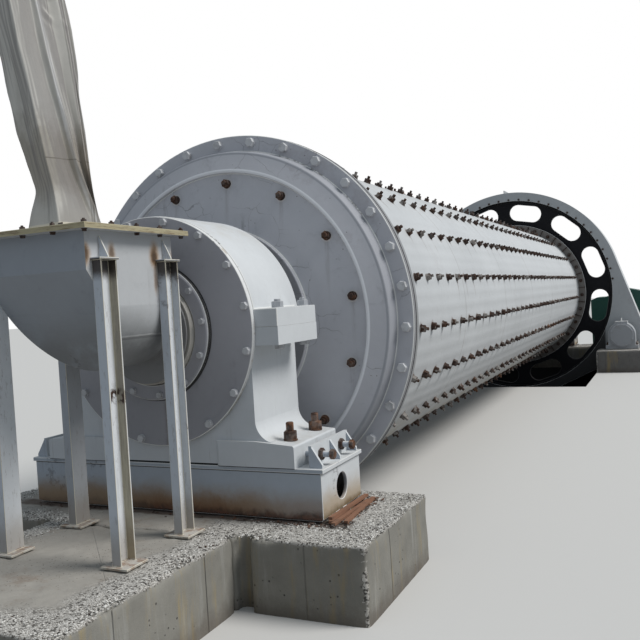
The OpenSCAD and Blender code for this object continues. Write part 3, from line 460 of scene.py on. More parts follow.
def cover_marks(f):
    """Cream rims of the cover and the seal ring, the rusty run below the seal, and painted shade over the
    lower part of the cover.
    """
    rim = f.fade(abs(f.facing(Y)), 0.35, 0.75)
    worn = f.patches(9.0, 0.52, 0.68)
    cream = f.mix(worn, (0.78, 0.79, 0.79), (0.46, 0.40, 0.32))
    f.stain(rim * 0.85, cream)
    run = f.fade(abs(f.x - 0.066 + (f.cloud(3.0) - 0.5) * 0.03), 0.008, 0.036)
    run = run * f.fade(f.z, 1.40, 1.46) * f.patches(7.0, 0.35, 0.6)
    f.stain(run * 0.6, (0.15, 0.09, 0.055))
    # Painted shade: the cover darker towards the bottom, where the hopper shades it.
    shade = f.fade(f.z, 1.35, 1.95)
    f.stain(shade * 0.42, (0.13, 0.135, 0.15))
    ring = f.inside(f.radius(), SEAL_RADIUS, SEAL_RADIUS + 0.006, 0.003)
    f.stain(ring * 0.9, (0.02, 0.018, 0.016))


# Rust beside the hopper's leg caps: y and z of each spot, its half width and height, and its strength.
HOPPER_RUST = (
    (-0.918, 2.175, 0.030, 0.050, 0.7),
    (-0.620, 2.165, 0.040, 0.075, 1.0),
    (-0.620, 2.050, 0.018, 0.070, 0.5),
    (-1.085, 2.165, 0.035, 0.055, 0.9),
    (-0.475, 2.160, 0.030, 0.060, 0.5),
)


def hopper_marks(f):
    """Cream rim, rust beside the leg caps, the weld over the bend with a painted highlight on it and a
    painted shade line under it, painted shade on the front plate and painted shade low down.
    """
    front_shade(f, 0.85)
    rim = f.ease(f.z, HOPPER_RIM - 0.013, HOPPER_RIM - 0.011) * f.fade(abs(f.facing(Z)), 0.3, 0.6)
    lines = f.patches(8.0, 0.5, 0.62, at=f.stretched(1.0, 1.0, 30.0))
    f.stain(rim * 0.95, f.mix(lines, (0.44, 0.39, 0.24), (0.15, 0.09, 0.04)))
    wobble = (f.cloud(14.0, 5.0, 0.7) - 0.5) * 0.06
    side = f.fade(abs(f.facing(Y)), 0.3, 0.7)
    for y, z, wide, tall, much in HOPPER_RUST:
        near = distance((f.y - y + wobble * 0.5) / wide, (f.z - z + wobble) / tall)
        halo = f.fade(near, 0.25, 1.25) * side * much
        f.stain(halo * 0.9, (0.36, 0.20, 0.07))
        core = f.fade(near, 0.2, 0.85) * side * much
        f.stain(core * 0.9, (0.045, 0.024, 0.013))
    # Painted highlight along the weld bead over the bend.
    weld = f.inside(f.z, HOPPER_BEND, HOPPER_BEND + 0.006, 0.002) * side
    f.stain(weld * 0.6, (0.75, 0.76, 0.76))
    # Painted shade: a dark line under the weld bead.
    under = f.inside(f.z, HOPPER_BEND - 0.010, HOPPER_BEND - 0.004, 0.003) * side
    f.stain(under * 0.5, (0.12, 0.12, 0.13))
    # Painted shade: darker towards the bottom of the hopper, in patches.
    low = f.fade(f.z + wobble, 1.70, 1.98) * f.patches(4.0, 0.2, 0.55)
    f.stain(low * 0.7, (0.17, 0.17, 0.165))
    f.height += weld * 1.5


def leg_marks(f):
    """Painted blue grey shade on the front flanges, olive brown painted shade on the inner faces, a scab of
    rust, rust and painted shade under the cap plates, painted shade on the rear left leg, and dirt and dust
    at the foot.
    """
    front_shade(f, 0.55)
    # Painted shade: olive brown on the inner faces of the channels that look at the feed end.
    inner = f.inside(f.y, -0.985, -0.93) * 0.8 + f.inside(f.y, -0.545, -0.487) * 0.2
    inner = inner * f.front(0.3)
    worn = f.patches(3.0, 0.35, 0.65, at=f.stretched(6.0, 6.0, 0.7))
    f.stain(inner, f.mix(worn, (0.42, 0.36, 0.22), (0.19, 0.15, 0.085)))
    wobble = (f.cloud(16.0, 6.0, 0.75) - 0.5) * 0.10
    up = f.z - 1.555 + wobble
    patch = f.fade(abs(up), 0.015, 0.035) * f.patches(30.0, 0.36, 0.5, 4.0, 0.55)
    patch = patch * f.inside(f.y, -1.005, -0.93) * f.ease(f.x, 0.28, 0.30)
    f.stain(patch, DARK_RUST)
    # Rust and painted shade: dark under each cap plate.
    cap = f.ease(f.z + wobble * 0.5, LEG_TOP - 0.20, LEG_TOP - 0.145)
    cap = cap * f.fade(f.z, LEG_TOP - 0.098, LEG_TOP - 0.094)
    f.stain(cap * 0.92, (0.035, 0.024, 0.018))
    # Painted shade on the rear left leg.
    behind = f.fade(f.x, -0.1, 0.0) * f.ease(f.y, -0.8, -0.7)
    f.stain(behind * 0.38, (0.10, 0.10, 0.115))
    brown = f.fade(f.z + wobble, PIER_TOP + 0.06, PIER_TOP + 0.24)
    f.stain(brown * 0.5, (0.24, 0.18, 0.11))
    foot = f.fade(f.z, PIER_TOP + 0.012, PIER_TOP + 0.02)
    dusty = f.mix(f.patches(20.0, 0.45, 0.6), DUST, (0.24, 0.13, 0.07))
    f.stain(foot * 0.7, dusty)
    ragged = f.streaks(60.0, 60.0, 14.0, 0.57, 0.62, 6.0, 0.75)
    f.stain(ragged * 0.3, (0.16, 0.12, 0.09))


def motor_marks(f):
    """Cooling ribs along the motor's body, with painted shade in the valleys between them."""
    low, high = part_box("drive_motor")
    angle = f.angle(f.x - (low.x + MOTOR_RADIUS), f.z - (high.z - MOTOR_RADIUS))
    rib = f.ease(abs((angle / math.radians(6.0)) % 1.0 - 0.5), 0.22, 0.36)
    body = f.inside(f.y, low.y + 0.12, high.y - 0.14, 0.01) * f.fade(abs(f.facing(Y)), 0.4, 0.6)
    # Painted shade in the valleys between the ribs.
    valley = (1.0 - rib) * body
    f.stain(valley * 0.75, (0.004, 0.012, 0.010))
    f.height -= valley * 8.0


def guard_marks(f):
    """A painted shadow low on the guard beside the pinion, and a painted highlight along its outer edge."""
    # Painted shadow: near black on the guard low down beside the pinion.
    low = f.fade(f.z + (f.cloud(5.0, 4.0) - 0.5) * 0.1, 1.20, 1.36) * f.fade(abs(f.x), 1.44, 1.49)
    f.stain(low * 0.96, (0.012, 0.012, 0.013))
    # Painted highlight: the guard's sideways faces painted pale towards its outer edge.
    side = f.ease(abs(f.facing(X)), 0.5, 0.8) * f.ease(abs(f.x), 1.0, 1.3)
    f.stain(side * 0.7 * (1.0 - low), (0.72, 0.74, 0.75))


def head_marks(sizes):
    """A pale ring round each head bolt with a streak below it, pits, the dull rim of the flange, painted
    shade on the front faces, the shoulder and the hub, and a painted highlight along the crest.
    """

    def add(f):
        front_shade(f, 0.12)
        streak = None
        for k in range(sizes.head_bolts):
            a = sizes.head_first + 2 * math.pi * k / sizes.head_bolts
            across = f.x - sizes.head_bolt_circle * math.cos(a)
            below = (AXIS_Z + sizes.head_bolt_circle * math.sin(a)) - f.z
            run = f.fade(abs(across), 0.004, 0.020) * f.ease(below, 0.0, 0.04)
            run = run * f.fade(below, 0.06, 0.26 + 0.09 * (k % 3))
            streak = run if streak is None else streak.most(run)
        streak = streak * f.streaks(50.0, 20.0, 4.0, 0.36, 0.6, 4.0)
        f.stain(streak * 0.25, (0.13, 0.105, 0.09))
        radius = f.radius()
        angle = f.angle(f.x, f.z - AXIS_Z)
        turn = ((angle - sizes.head_first) / (2 * math.pi / sizes.head_bolts)) % 1.0
        near_turn = turn.least(1.0 - turn) * (2 * math.pi / sizes.head_bolts * sizes.head_bolt_circle)
        near = distance(near_turn, radius - sizes.head_bolt_circle)
        f.stain(f.fade(near, 0.030, 0.040) * 0.5, (0.72, 0.70, 0.67))
        pits = f.fade(f.cells(21.0), 0.05, 0.085) * f.patches(2.4, 0.46, 0.56, 3.0, 0.55)
        f.stain(pits * 0.75, (0.07, 0.06, 0.055))
        # Painted highlight along the crest of the head.
        crest = f.inside(radius, 0.924, 0.940, 0.005)
        f.stain(crest * 0.75, (0.86, 0.88, 0.92))
        # Painted shade on the shoulder, dimming its highlight.
        shoulder = f.inside(radius, 1.036, 1.062, 0.008)
        f.stain(shoulder * 0.85, (0.31, 0.325, 0.36))
        # Painted shade on the hub inside the neck ring, on its front faces.
        hub = f.fade(radius, HUB_RADIUS - 0.012, HUB_RADIUS - 0.006) * f.front()
        f.stain(hub * 0.6, (0.12, 0.12, 0.13))
        rim = f.ease(radius, FLANGE_RIM, FLANGE_RIM + 0.0005)
        f.stain(rim * 0.8, (0.17, 0.172, 0.18))
        joint = f.inside(f.y, SHELL_LOW.y - 0.0015, SHELL_LOW.y + 0.0015, 0.001) * f.ease(radius, 1.1, 1.11)
        f.stain(joint, (0.01, 0.01, 0.01))
        f.height -= pits * 0.8

    return add


def shell_marks(sizes):
    """Rust and dirt round each liner bolt and down the plate below it, and the plate's ring seams."""

    def add(f):
        angle = f.angle(f.x, f.z - AXIS_Z)
        pitch = 2 * math.pi / sizes.liner_rows
        turn = ((angle - sizes.liner_first) / pitch) % 1.0
        along = ((f.y - sizes.liner_start) / sizes.liner_step) % 1.0
        wobble = (f.cloud(16.0, 4.0) - 0.5) * 0.05
        side = f.ease(f.x, -0.15, 0.15)
        below = (1.0 - turn) * side + turn * (1.0 - side)
        across = (along - (along + 0.5 - ((along + 0.5) % 1.0))) * sizes.liner_step + wobble * 0.4
        near_turn = turn.least(1.0 - turn) * pitch * sizes.shell_radius
        near = distance(near_turn, across) + wobble * 0.5
        inside = f.ease(f.y, sizes.liner_start - 0.15, sizes.liner_start - 0.1)
        halo = f.fade(near + wobble * 0.5, 0.027, 0.044) * inside
        halo = halo * f.patches(5.0, 0.38, 0.6, 3.0, 0.55)
        f.stain(halo * 0.5, f.mix(f.cloud(40.0), DARK_RUST, ORANGE_RUST))
        bent = abs(across + (f.cloud(5.0, 3.0) - 0.5) * 0.05)
        run = f.fade(bent, 0.002, 0.011) * f.fade(below, 0.05, 0.62)
        run = run * f.patches(3.1, 0.46, 0.6, 4.0, 0.55) * inside
        run = run * f.fade(f.y, 2.0, 7.0, 0.65)
        f.stain(run * 0.8, (0.20, 0.155, 0.115))
        thread = f.streaks(8.0, 42.0, 3.0, 0.60, 0.70)
        f.stain(thread * 0.18 * inside, (0.27, 0.22, 0.17))
        band = f.fade(abs(((f.y - SHELL_LOW.y) / PLATE + 0.5) % 1.0 - 0.5) * PLATE, 0.006, 0.014)
        f.stain(band * 0.35, (0.35, 0.34, 0.32))
        f.height += band * 1.2
        belly = f.fade(f.z, AXIS_Z - 1.05, AXIS_Z - 0.5)
        f.stain(belly * f.patches(3.0, 0.35, 0.65, 5.0, 0.55) * 0.8, (0.46, 0.41, 0.31))
        radius = f.radius()
        ring = f.ease(radius, sizes.shell_radius + 0.006, sizes.shell_radius + 0.008)
        far = f.ease(f.y, 5.0, 5.1)
        greasy = f.mix(f.cloud(9.0, 5.0, 0.7), (0.09, 0.076, 0.066), (0.21, 0.185, 0.165))
        f.stain(ring * far * 0.92, greasy)
        rim = f.ease(radius, FLANGE_RIM, FLANGE_RIM + 0.0005) * (1.0 - far)
        f.stain(rim * 0.75, (0.19, 0.192, 0.20))
        joint = f.inside(f.y, SHELL_LOW.y - 0.0015, SHELL_LOW.y + 0.0015, 0.001) * ring
        f.stain(joint, (0.01, 0.01, 0.01))

    return add


def rusty_steel(name, orange, pale):
    """Bare steel fasteners, brown with rust. orange and pale are the shares of fresh rust and worn grey."""
    f = Finish(name)
    patch = f.cloud(11.0, 5.0, 0.7)
    grain = f.cloud(90.0, 5.0, 0.7)
    f.tone = f.mix(f.ease(grain, 0.35, 0.7), (0.022, 0.013, 0.010), (0.075, 0.034, 0.021))
    f.stain(f.ease(patch, 0.45, 0.7) * orange, ORANGE_RUST)
    f.stain(f.patches(23.0, 0.46, 0.6, 2.0, 0.55) * pale, (0.40, 0.385, 0.365))
    f.close(0.66 + grain * 0.2, grain, 0.0015, metallic=0.15)


def plain_paint(name, colour, rough=0.6):
    """One colour with a little dirt, for small pieces."""
    f = Finish(name)
    grain = f.cloud(70.0, 4.0, 0.7)
    f.tone = f.mix(f.patches(15.0, 0.5, 0.75, 4.0, 0.55) * 0.4, f.tint(colour, 0.8 + grain * 0.4), GRIME_AND_SHADE)
    f.close(rough, grain, 0.0006)


def bare_steel(name, colour=(0.30, 0.30, 0.30), rust=0.3):
    """Machined steel that has begun to rust."""
    f = Finish(name)
    rings = f.cloud(3.0, 3.0, 0.6, f.stretched(1.0, 60.0, 1.0))
    grain = f.cloud(120.0, 4.0)
    f.tone = f.tint(colour, 0.85 + rings * 0.3)
    bloom = f.patches(13.0, 0.52, 0.72, 6.0, 0.75)
    f.stain(bloom * rust, RUST)
    f.close(0.34 + grain * 0.15 + bloom * 0.3, grain, 0.0005, metallic=0.75)


def gear_paint(name, colour):
    """Black paint and old grease on the girth gear and the pinion."""
    f = Finish(name)
    thick = f.cloud(6.0, 6.0, 0.7)
    f.tone = f.tint(colour, 0.7 + thick)
    f.stain(f.patches(2.0, 0.55, 0.8) * 0.35, (0.05, 0.042, 0.034))
    f.close(0.5 + thick * 0.3, thick + f.cloud(60.0) * 0.3, 0.002, shine=0.12)


def concrete_skin(name, colour, node):
    """Cast concrete: form marks and stains on its sides, a dusty top, and bare stones along the edges."""
    low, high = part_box(node)
    f = Finish(name)
    broad = f.cloud(1.1, 5.0, 0.65)
    mid = f.cloud(7.0, 6.0, 0.7)
    grain = f.cloud(210.0, 4.0, 0.7)
    f.tone = f.tint(colour, 0.34 + broad * 0.53 + mid * 0.58 + grain * 0.12)
    seam = f.x + f.y + (0.5 * BOARD - 1.026)
    board = f.fade(abs(seam / BOARD % 1.0 - 0.5) * BOARD, 0.002, 0.005)
    f.stain(board * f.ease(f.facing(X), 0.3, 0.8, 0.35, 0.9), f.tint(colour, 0.2))
    pores = f.fade(f.cells(26.0), 0.10, 0.15) * f.patches(5.0, 0.48, 0.6, 2.0, 0.55)
    f.stain(pores * 0.8, f.tint(colour, 0.2))
    f.stain(f.streaks(9.0, 9.0, 0.9, 0.51, 0.68) * 0.75, (0.34, 0.27, 0.14))
    f.stain(f.streaks(13.0, 13.0, 1.0, 0.54, 0.72) * 0.5, (0.40, 0.40, 0.38))
    splash = f.fade(f.z + (mid - 0.5) * 0.16, GROUND_Z - 0.01, GROUND_Z + 0.12)
    f.stain(splash * 0.6, (0.11, 0.088, 0.07))
    # Painted shade on the faces that look at the feed end.
    front_shade(f, 0.25, (0.9, 0.86, 0.8))

    gap = (high.x - low.x) / 2 - abs(f.x - (low.x + high.x) / 2)
    ahead = f.y - low.y
    nick = f.fade(gap + ahead + (f.cloud(40.0, 3.0) - 0.5) * 0.06, 0.020, 0.024)
    rubble = f.mix(f.patches(70.0, 0.42, 0.5, 3.0, 0.55), (0.05, 0.045, 0.04), (0.50, 0.48, 0.44))
    f.stain(nick * 0.85, rubble)
    if node == "feed_pier":
        ahead = ahead.most(SLAB_HALF - abs(f.x))
    gap = gap.least(ahead)
    if node != "hopper_slab":
        gap = gap.least(high.y - f.y)
    gap = gap - f.ease(f.x, 0.0, 0.8) * 0.13
    worn = f.fade(gap + (f.cloud(3.2, 6.0, 0.72) - 0.5) * 0.34, 0.08, 0.21)
    light = f.split(f.cells(112.0, output="Color"))[0]
    pebble = f.tint((0.66, 0.64, 0.60), 0.62 + light * 0.45)
    stone = f.mix(f.ease(light, 0.16, 0.20), (0.09, 0.083, 0.075), pebble)
    crack = f.ease(f.cells(112.0, "DISTANCE_TO_EDGE"), 0.02, 0.12)
    stone = f.mix(crack, (0.40, 0.375, 0.335), stone)
    dust = f.tint((0.335, 0.317, 0.285), 0.60 + mid * 0.56 + broad * 0.2)
    specks = f.fade(f.cells(55.0), 0.12, 0.2) * f.patches(3.0, 0.36, 0.5, 3.0, 0.55)
    dust = f.mix(specks * 0.75, dust, (0.07, 0.062, 0.055))
    dust = f.mix(f.patches(2.7, 0.50, 0.66, 6.0, 0.75) * 0.5, dust, (0.19, 0.135, 0.095))
    crown = f.mix(worn, dust, stone)
    litter = f.inside(f.y + (mid - 0.5) * 0.05, -0.275, -0.2, 0.03) * f.fade(abs(f.x), 1.0, 1.1)
    crown = f.mix(litter * 0.8, crown, (0.075, 0.045, 0.03))
    broken = f.ease(f.z + (mid - 0.5) * 0.04, high.z - 0.024, high.z - 0.012)
    f.stain(broken, crown)
    relief = crack * worn * broken
    f.height = grain * 0.25 + mid * 0.4 + relief * 0.7 - pores * 0.6 - board * 0.3
    f.close(0.92, f.height, 0.006)


def canvas_cloth(name, colour, low, high):
    """Coarse grey canvas with dirt, and with painted highlights and painted shade along its folds."""
    f = Finish(name)
    warp = f.node("ShaderNodeTexWave", {"bands_direction": "Z"},
                  {"Vector": f.spot, "Scale": 160.0, "Distortion": 0.6, "Detail": 1.0})
    weft = f.node("ShaderNodeTexWave", {"bands_direction": "DIAGONAL"},
                  {"Vector": f.stretched(1.0, 1.0, 0.0), "Scale": 150.0, "Distortion": 0.6})
    weave = warp * 0.5 + weft * 0.5
    blot = f.cloud(3.4, 6.0, 0.72)
    f.tone = f.tint(colour, 1.10 + blot * 0.34 + weave * 0.07)
    runs = f.streaks(7.0, 7.0, 1.0, 0.45, 0.75, 4.0, 0.6)
    f.stain(runs * 0.25, (0.22, 0.20, 0.17))
    t = (f.z - low) / (high - low)
    along = f.x - SLEEVE_FOOT_X + SLEEVE_LEAN * t ** SLEEVE_CURVE
    across = along * VIEW_X + (f.y - SLEEVE_Y) * VIEW_Y
    ridge = 0.092 * (1.0 - t) ** 5.0 + 0.088
    beside = across - ridge
    # Painted shade just before the ridge fold.
    before = f.ease(beside, -0.10, -0.012) * f.fade(beside, -0.010, 0.0)
    f.stain(before * f.fade(t, 0.35, 0.6) * 0.25, (0.15, 0.14, 0.13))
    # Painted highlight along the ridge fold.
    line = f.fade(abs(beside), 0.003, 0.012)
    f.stain(line * 0.7, (0.88, 0.88, 0.88))
    # Painted shade just after the ridge fold.
    after = f.inside(beside, 0.012, 0.04, 0.02)
    f.stain(after * 0.35, (0.17, 0.165, 0.16))
    # Painted shade: thin dark stripes in the creases near the right edge of the sleeve.
    edge = 0.17 + t * 0.06 - across
    for place, wide, much in ((0.010, 0.003, 0.5), (0.024, 0.002, 0.7), (0.034, 0.002, 0.5)):
        stripe = f.fade(abs(edge - place + (blot - 0.5) * 0.01), wide, wide + 0.004)
        f.stain(stripe * much, (0.13, 0.12, 0.11))
    waist = low + (high - low) * 0.27
    band = f.fade(abs(f.z - waist + (blot - 0.5) * 0.5), 0.04, 0.26)
    f.stain(band * 0.55, (0.225, 0.185, 0.13))
    # Painted shade on the panels that face away from the light.
    away = f.ease(f.facing(X) * -1.0, 0.05, 0.45) + f.ease(f.facing(X), 0.86, 0.97)
    f.stain(away * 0.55, (0.17, 0.16, 0.165))
    foot = f.fade(f.z + (blot - 0.5) * 0.2, low, low + 0.2)
    f.stain(foot * 0.25, (0.30, 0.27, 0.21))
    bow = f.z - low - 0.333 + (f.cloud(2.0) - 0.5) * 0.02
    stitches = f.fade(abs(bow), 0.0015, 0.004) * f.ease(f.facing(X), 0.2, 0.5)
    f.stain(stitches * 0.7, (0.16, 0.14, 0.12))
    hem = f.fade(f.z + (blot - 0.5) * 0.02, low + 0.036, low + 0.042)
    f.stain(hem * 0.85, (0.72, 0.67, 0.54))
    f.close(0.93, weave * 0.4 + f.cloud(45.0, 4.0) * 0.6, 0.0018)


def sleeve_place(u, w, t=0.0):
    """X and Y of a point of the sleeve, u across the view and w towards it, at a share of the height."""
    return (SLEEVE_FOOT_X - SLEEVE_LEAN * t ** SLEEVE_CURVE + VIEW_X * u + VIEW_Y * w,
            SLEEVE_Y + VIEW_Y * u - VIEW_X * w)


class Shape:
    """Points, faces and the material number of each face, before they become an object."""

    def __init__(self, points, faces, paints=None):
        self.points = np.asarray(points, float).reshape(-1, 3)
        self.faces = list(faces)
        self.paints = list(paints) if paints is not None else [0] * len(self.faces)

    def painted(self, number):
        """The same shape with one material, by its number."""
        return Shape(self.points, self.faces, [number] * len(self.faces))

    def moved(self, matrix):
        """The same shape, moved by a matrix."""
        return self.copies([matrix])

    def __add__(self, other):
        shift = len(self.points)
        faces = self.faces + [tuple(i + shift for i in face) for face in other.faces]
        return Shape(np.vstack([self.points, other.points]), faces, self.paints + other.paints)

    def copies(self, matrices, numbers=None):
        """This shape once for each matrix, as one shape. numbers picks a material for each copy."""
        points, faces, paints, count = [], [], [], len(self.points)
        for number, matrix in enumerate(matrices):
            m = np.array(matrix)
            points.append(self.points @ m[:3, :3].T + m[:3, 3])
            faces += [tuple(i + number * count for i in face) for face in self.faces]
            paints += self.paints if numbers is None else [numbers[number]] * len(self.faces)
        return Shape(np.vstack(points), faces, paints)


def clamp(value):
    """A number, kept between 0 and 1."""
    return min(1.0, max(0.0, value))


def lathe(profile, sides):
    """Turns (radius, height) pairs about Z and closes both ends."""
    points, faces = [], []
    for radius, height in profile:
        for i in range(sides):
            a = 2 * math.pi * i / sides
            points.append((radius * math.cos(a), radius * math.sin(a), height))
    for k in range(len(profile) - 1):
        for i in range(sides):
            j = (i + 1) % sides
            faces.append((k * sides + i, k * sides + j, (k + 1) * sides + j, (k + 1) * sides + i))
    last = (len(profile) - 1) * sides
    faces.append(tuple(range(last, last + sides)))
    faces.append(tuple(reversed(range(sides))))
    return Shape(points, faces)


def nut(across, height, stud=0.0, rise=0.0, washer=0.0, thick=0.004):
    """A hexagon nut or head on a washer of a radius, with the end of a stud that rises above it."""
    radius = across / math.sqrt(3)
    cut = across * 0.06
    base = thick if washer else 0.0
    shape = lathe([(radius, base), (radius, base + height - cut), (radius - cut, base + height)], 6)
    if washer:
        shape = shape + lathe([(washer, 0.0), (washer, thick * 0.8), (washer - thick * 0.3, thick)], 14)
    if stud:
        top = base + height + rise
        shape = shape + lathe([(stud, base + height * 0.6), (stud, top - stud * 0.2), (stud * 0.8, top)], 9)
    return shape


def slab(low, high):
    """A block between two corners."""
    (x0, y0, z0), (x1, y1, z1) = low, high
    points = [(x, y, z) for x in (x0, x1) for y in (y0, y1) for z in (z0, z1)]
    faces = [(0, 1, 3, 2), (4, 6, 7, 5), (0, 4, 5, 1), (2, 3, 7, 6), (0, 2, 6, 4), (1, 5, 7, 3)]
    return Shape(points, faces)


def upright(point, outward, spin=0.0):
    """The matrix that stands a shape on a point with its Z along outward."""
    z = Vector(outward).normalized()
    x = (Vector((0, 1, 0)) if abs(z.y) < 0.9 else Vector((1, 0, 0))).cross(z).normalized()
    y = z.cross(x)
    turn = Matrix((x, y, z)).transposed().to_4x4()
    return Matrix.Translation(Vector(point)) @ turn @ Matrix.Rotation(spin, 4, "Z")


def standing(x, y, z, up=1):
    """The matrix that stands a shape on a point with some turn, or hangs it there where up is -1."""
    return upright((x, y, z), (0, 0, up), noise.random() * 3)


def tumbled(rng, axis):
    """A random turn about Z after a random tip about another axis."""
    return Matrix.Rotation(rng.uniform(0, 6.3), 4, "Z") @ Matrix.Rotation(rng.uniform(-0.5, 0.5), 4, axis)


def circle_places(radius, y, outward, count, first, tilt=0.0):
    """Places on a bolt circle round the mill axis. tilt leans them away from the axis."""
    places = []
    for k in range(count):
        a = first + 2 * math.pi * k / count
        away = Vector((math.cos(a), 0, math.sin(a)))
        normal = Vector((0, outward, 0)) + away * tilt
        point = (radius * away.x, y, AXIS_Z + radius * away.z)
        places.append(upright(point, normal, noise.random() * math.pi))
    return places


def both_ends(places):
    """Places at the feed end, and the same ones at the discharge end."""
    flip = Matrix.Translation((0, DISCHARGE_Y, 0)) @ Matrix.Rotation(math.pi, 4, "Z")
    return places + [flip @ place for place in places]


def make(name, shape, finishes, body, sharp=32.0):
    """Makes one object of a shape on its body, smooth but for its sharp edges. finishes are in order."""
    mesh = bpy.data.meshes.new(name)
    mesh.from_pydata(shape.points.tolist(), [], shape.faces)
    for finish in finishes.split():
        mesh.materials.append(material(finish))
    mesh.polygons.foreach_set("material_index", shape.paints)
    mesh.polygons.foreach_set("use_smooth", [True] * len(shape.faces))
    mesh.set_sharp_from_angle(angle=math.radians(sharp))
    mesh.update()
    piece = bpy.data.objects.new(name, mesh)
    bpy.context.scene.collection.objects.link(piece)
    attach(piece, body)
    return piece


def material(name):
    """A finish that was made before, by its name."""
    return bpy.data.materials["dressed_" + name]


class BALLMILL_OT_stage(bpy.types.Operator):
    """Pale floor with the gear's pit, soft light and the camera"""

    bl_idname = "ballmill.stage"
    bl_label = "Stage, light and camera"

    def execute(self, context):
        scene = context.scene
        reach = 70.0
        x0, y0 = -1.55, 7.6
        x1, y1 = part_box("pinion_pier")[0].x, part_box("discharge_pier")[0].y
        floor = bmesh.new()

        def sheet(corners, paint=0):
            floor.faces.new([floor.verts.new(corner) for corner in corners]).material_index = paint

        for left, near, right, far in ((-reach, -reach, reach, y0), (-reach, y1, reach, reach),
                                       (-reach, y0, x0, y1), (x1, y0, reach, y1)):
            sheet([(x, y, GROUND_Z) for x, y in ((left, near), (right, near), (right, far), (left, far))])
        sheet([(x0, y0, 0), (x1, y0, 0), (x1, y1, 0), (x0, y1, 0)], 1)
        corners = [(x0, y0), (x1, y0), (x1, y1), (x0, y1)]
        for k in range(4):
            (ax, ay), (bx, by) = corners[k], corners[(k + 1) % 4]
            sheet([(ax, ay, GROUND_Z), (bx, by, GROUND_Z), (bx, by, 0), (ax, ay, 0)], 1)
        mesh = bpy.data.meshes.new("stage_floor")
        floor.to_mesh(mesh)
        floor.free()
        f = Finish("stage_floor")
        seen = f.node("ShaderNodeLightPath", output="Is Camera Ray")
        dim = f.node("ShaderNodeBsdfDiffuse", inputs={"Color": solid((0.33, 0.325, 0.315))})
        pale = f.node("ShaderNodeBsdfDiffuse", inputs={"Color": solid((0.62, 0.615, 0.60))})
        mesh.materials.append(f.show(f.node("ShaderNodeMixShader", inputs={0: seen, 1: dim, 2: pale})))
        # The pit's walls and floor are painted near black as painted shade.
        mesh.materials.append(Finish("stage_pit_shade", (0.02, 0.02, 0.02)).close(0.95))
        ground = bpy.data.objects.new("stage_floor", mesh)
        scene.collection.objects.link(ground)

        world = bpy.data.worlds.new("studio")
        scene.world = world
        world.use_nodes = True
        nodes, links = world.node_tree.nodes, world.node_tree.links
        nodes.clear()
        path, seen, fill, white, blend, output = (nodes.new("ShaderNode" + kind) for kind in (
            "LightPath", "Math", "Background", "Background", "MixShader", "OutputWorld"))
        seen.operation = "MAXIMUM"
        fill.inputs["Color"].default_value = (0.80, 0.90, 1.0, 1.0)
        fill.inputs["Strength"].default_value = 0.41
        white.inputs["Color"].default_value = (1.0, 1.0, 1.0, 1.0)
        for start, end in ((path.outputs["Is Camera Ray"], seen.inputs[0]),
                           (path.outputs["Is Transmission Ray"], seen.inputs[1]),
                           (seen.outputs[0], blend.inputs[0]), (fill.outputs[0], blend.inputs[1]),
                           (white.outputs[0], blend.inputs[2]), (blend.outputs[0], output.inputs[0])):
            links.new(start, end)

        lamp = bpy.data.lights.new("soft_key", "SUN")
        lamp.energy = 2.55
        lamp.angle = math.radians(25)
        lamp.color = (1.0, 0.975, 0.94)
        key = bpy.data.objects.new("soft_key", lamp)
        key.rotation_mode = "QUATERNION"
        key.rotation_quaternion = Vector((0.66, 0.15, 0.74)).to_track_quat("Z", "Y")
        scene.collection.objects.link(key)

        yaw, pitch, roll = 0.4335, -0.0277, -0.0595
        flat = math.cos(pitch)
        forward = Vector((-math.sin(yaw) * flat, math.cos(yaw) * flat, math.sin(pitch)))
        level_right = Vector((math.cos(yaw), math.sin(yaw), 0))
        level_up = level_right.cross(forward)
        right = math.cos(roll) * level_right + math.sin(roll) * level_up
        up = -math.sin(roll) * level_right + math.cos(roll) * level_up
        data = bpy.data.cameras.new("photo_camera")
        data.lens = 42.915
        data.sensor_width = 36.0
        data.sensor_fit = "HORIZONTAL"
        data.clip_end = 300.0
        camera = bpy.data.objects.new("photo_camera", data)
        camera.matrix_world = (Matrix.Translation((2.486, -3.545, 1.922))
                               @ Matrix((right, up, -forward)).transposed().to_4x4())
        scene.collection.objects.link(camera)
        scene.camera = camera
        scene.view_settings.view_transform = "Standard"
        return {"FINISHED"}


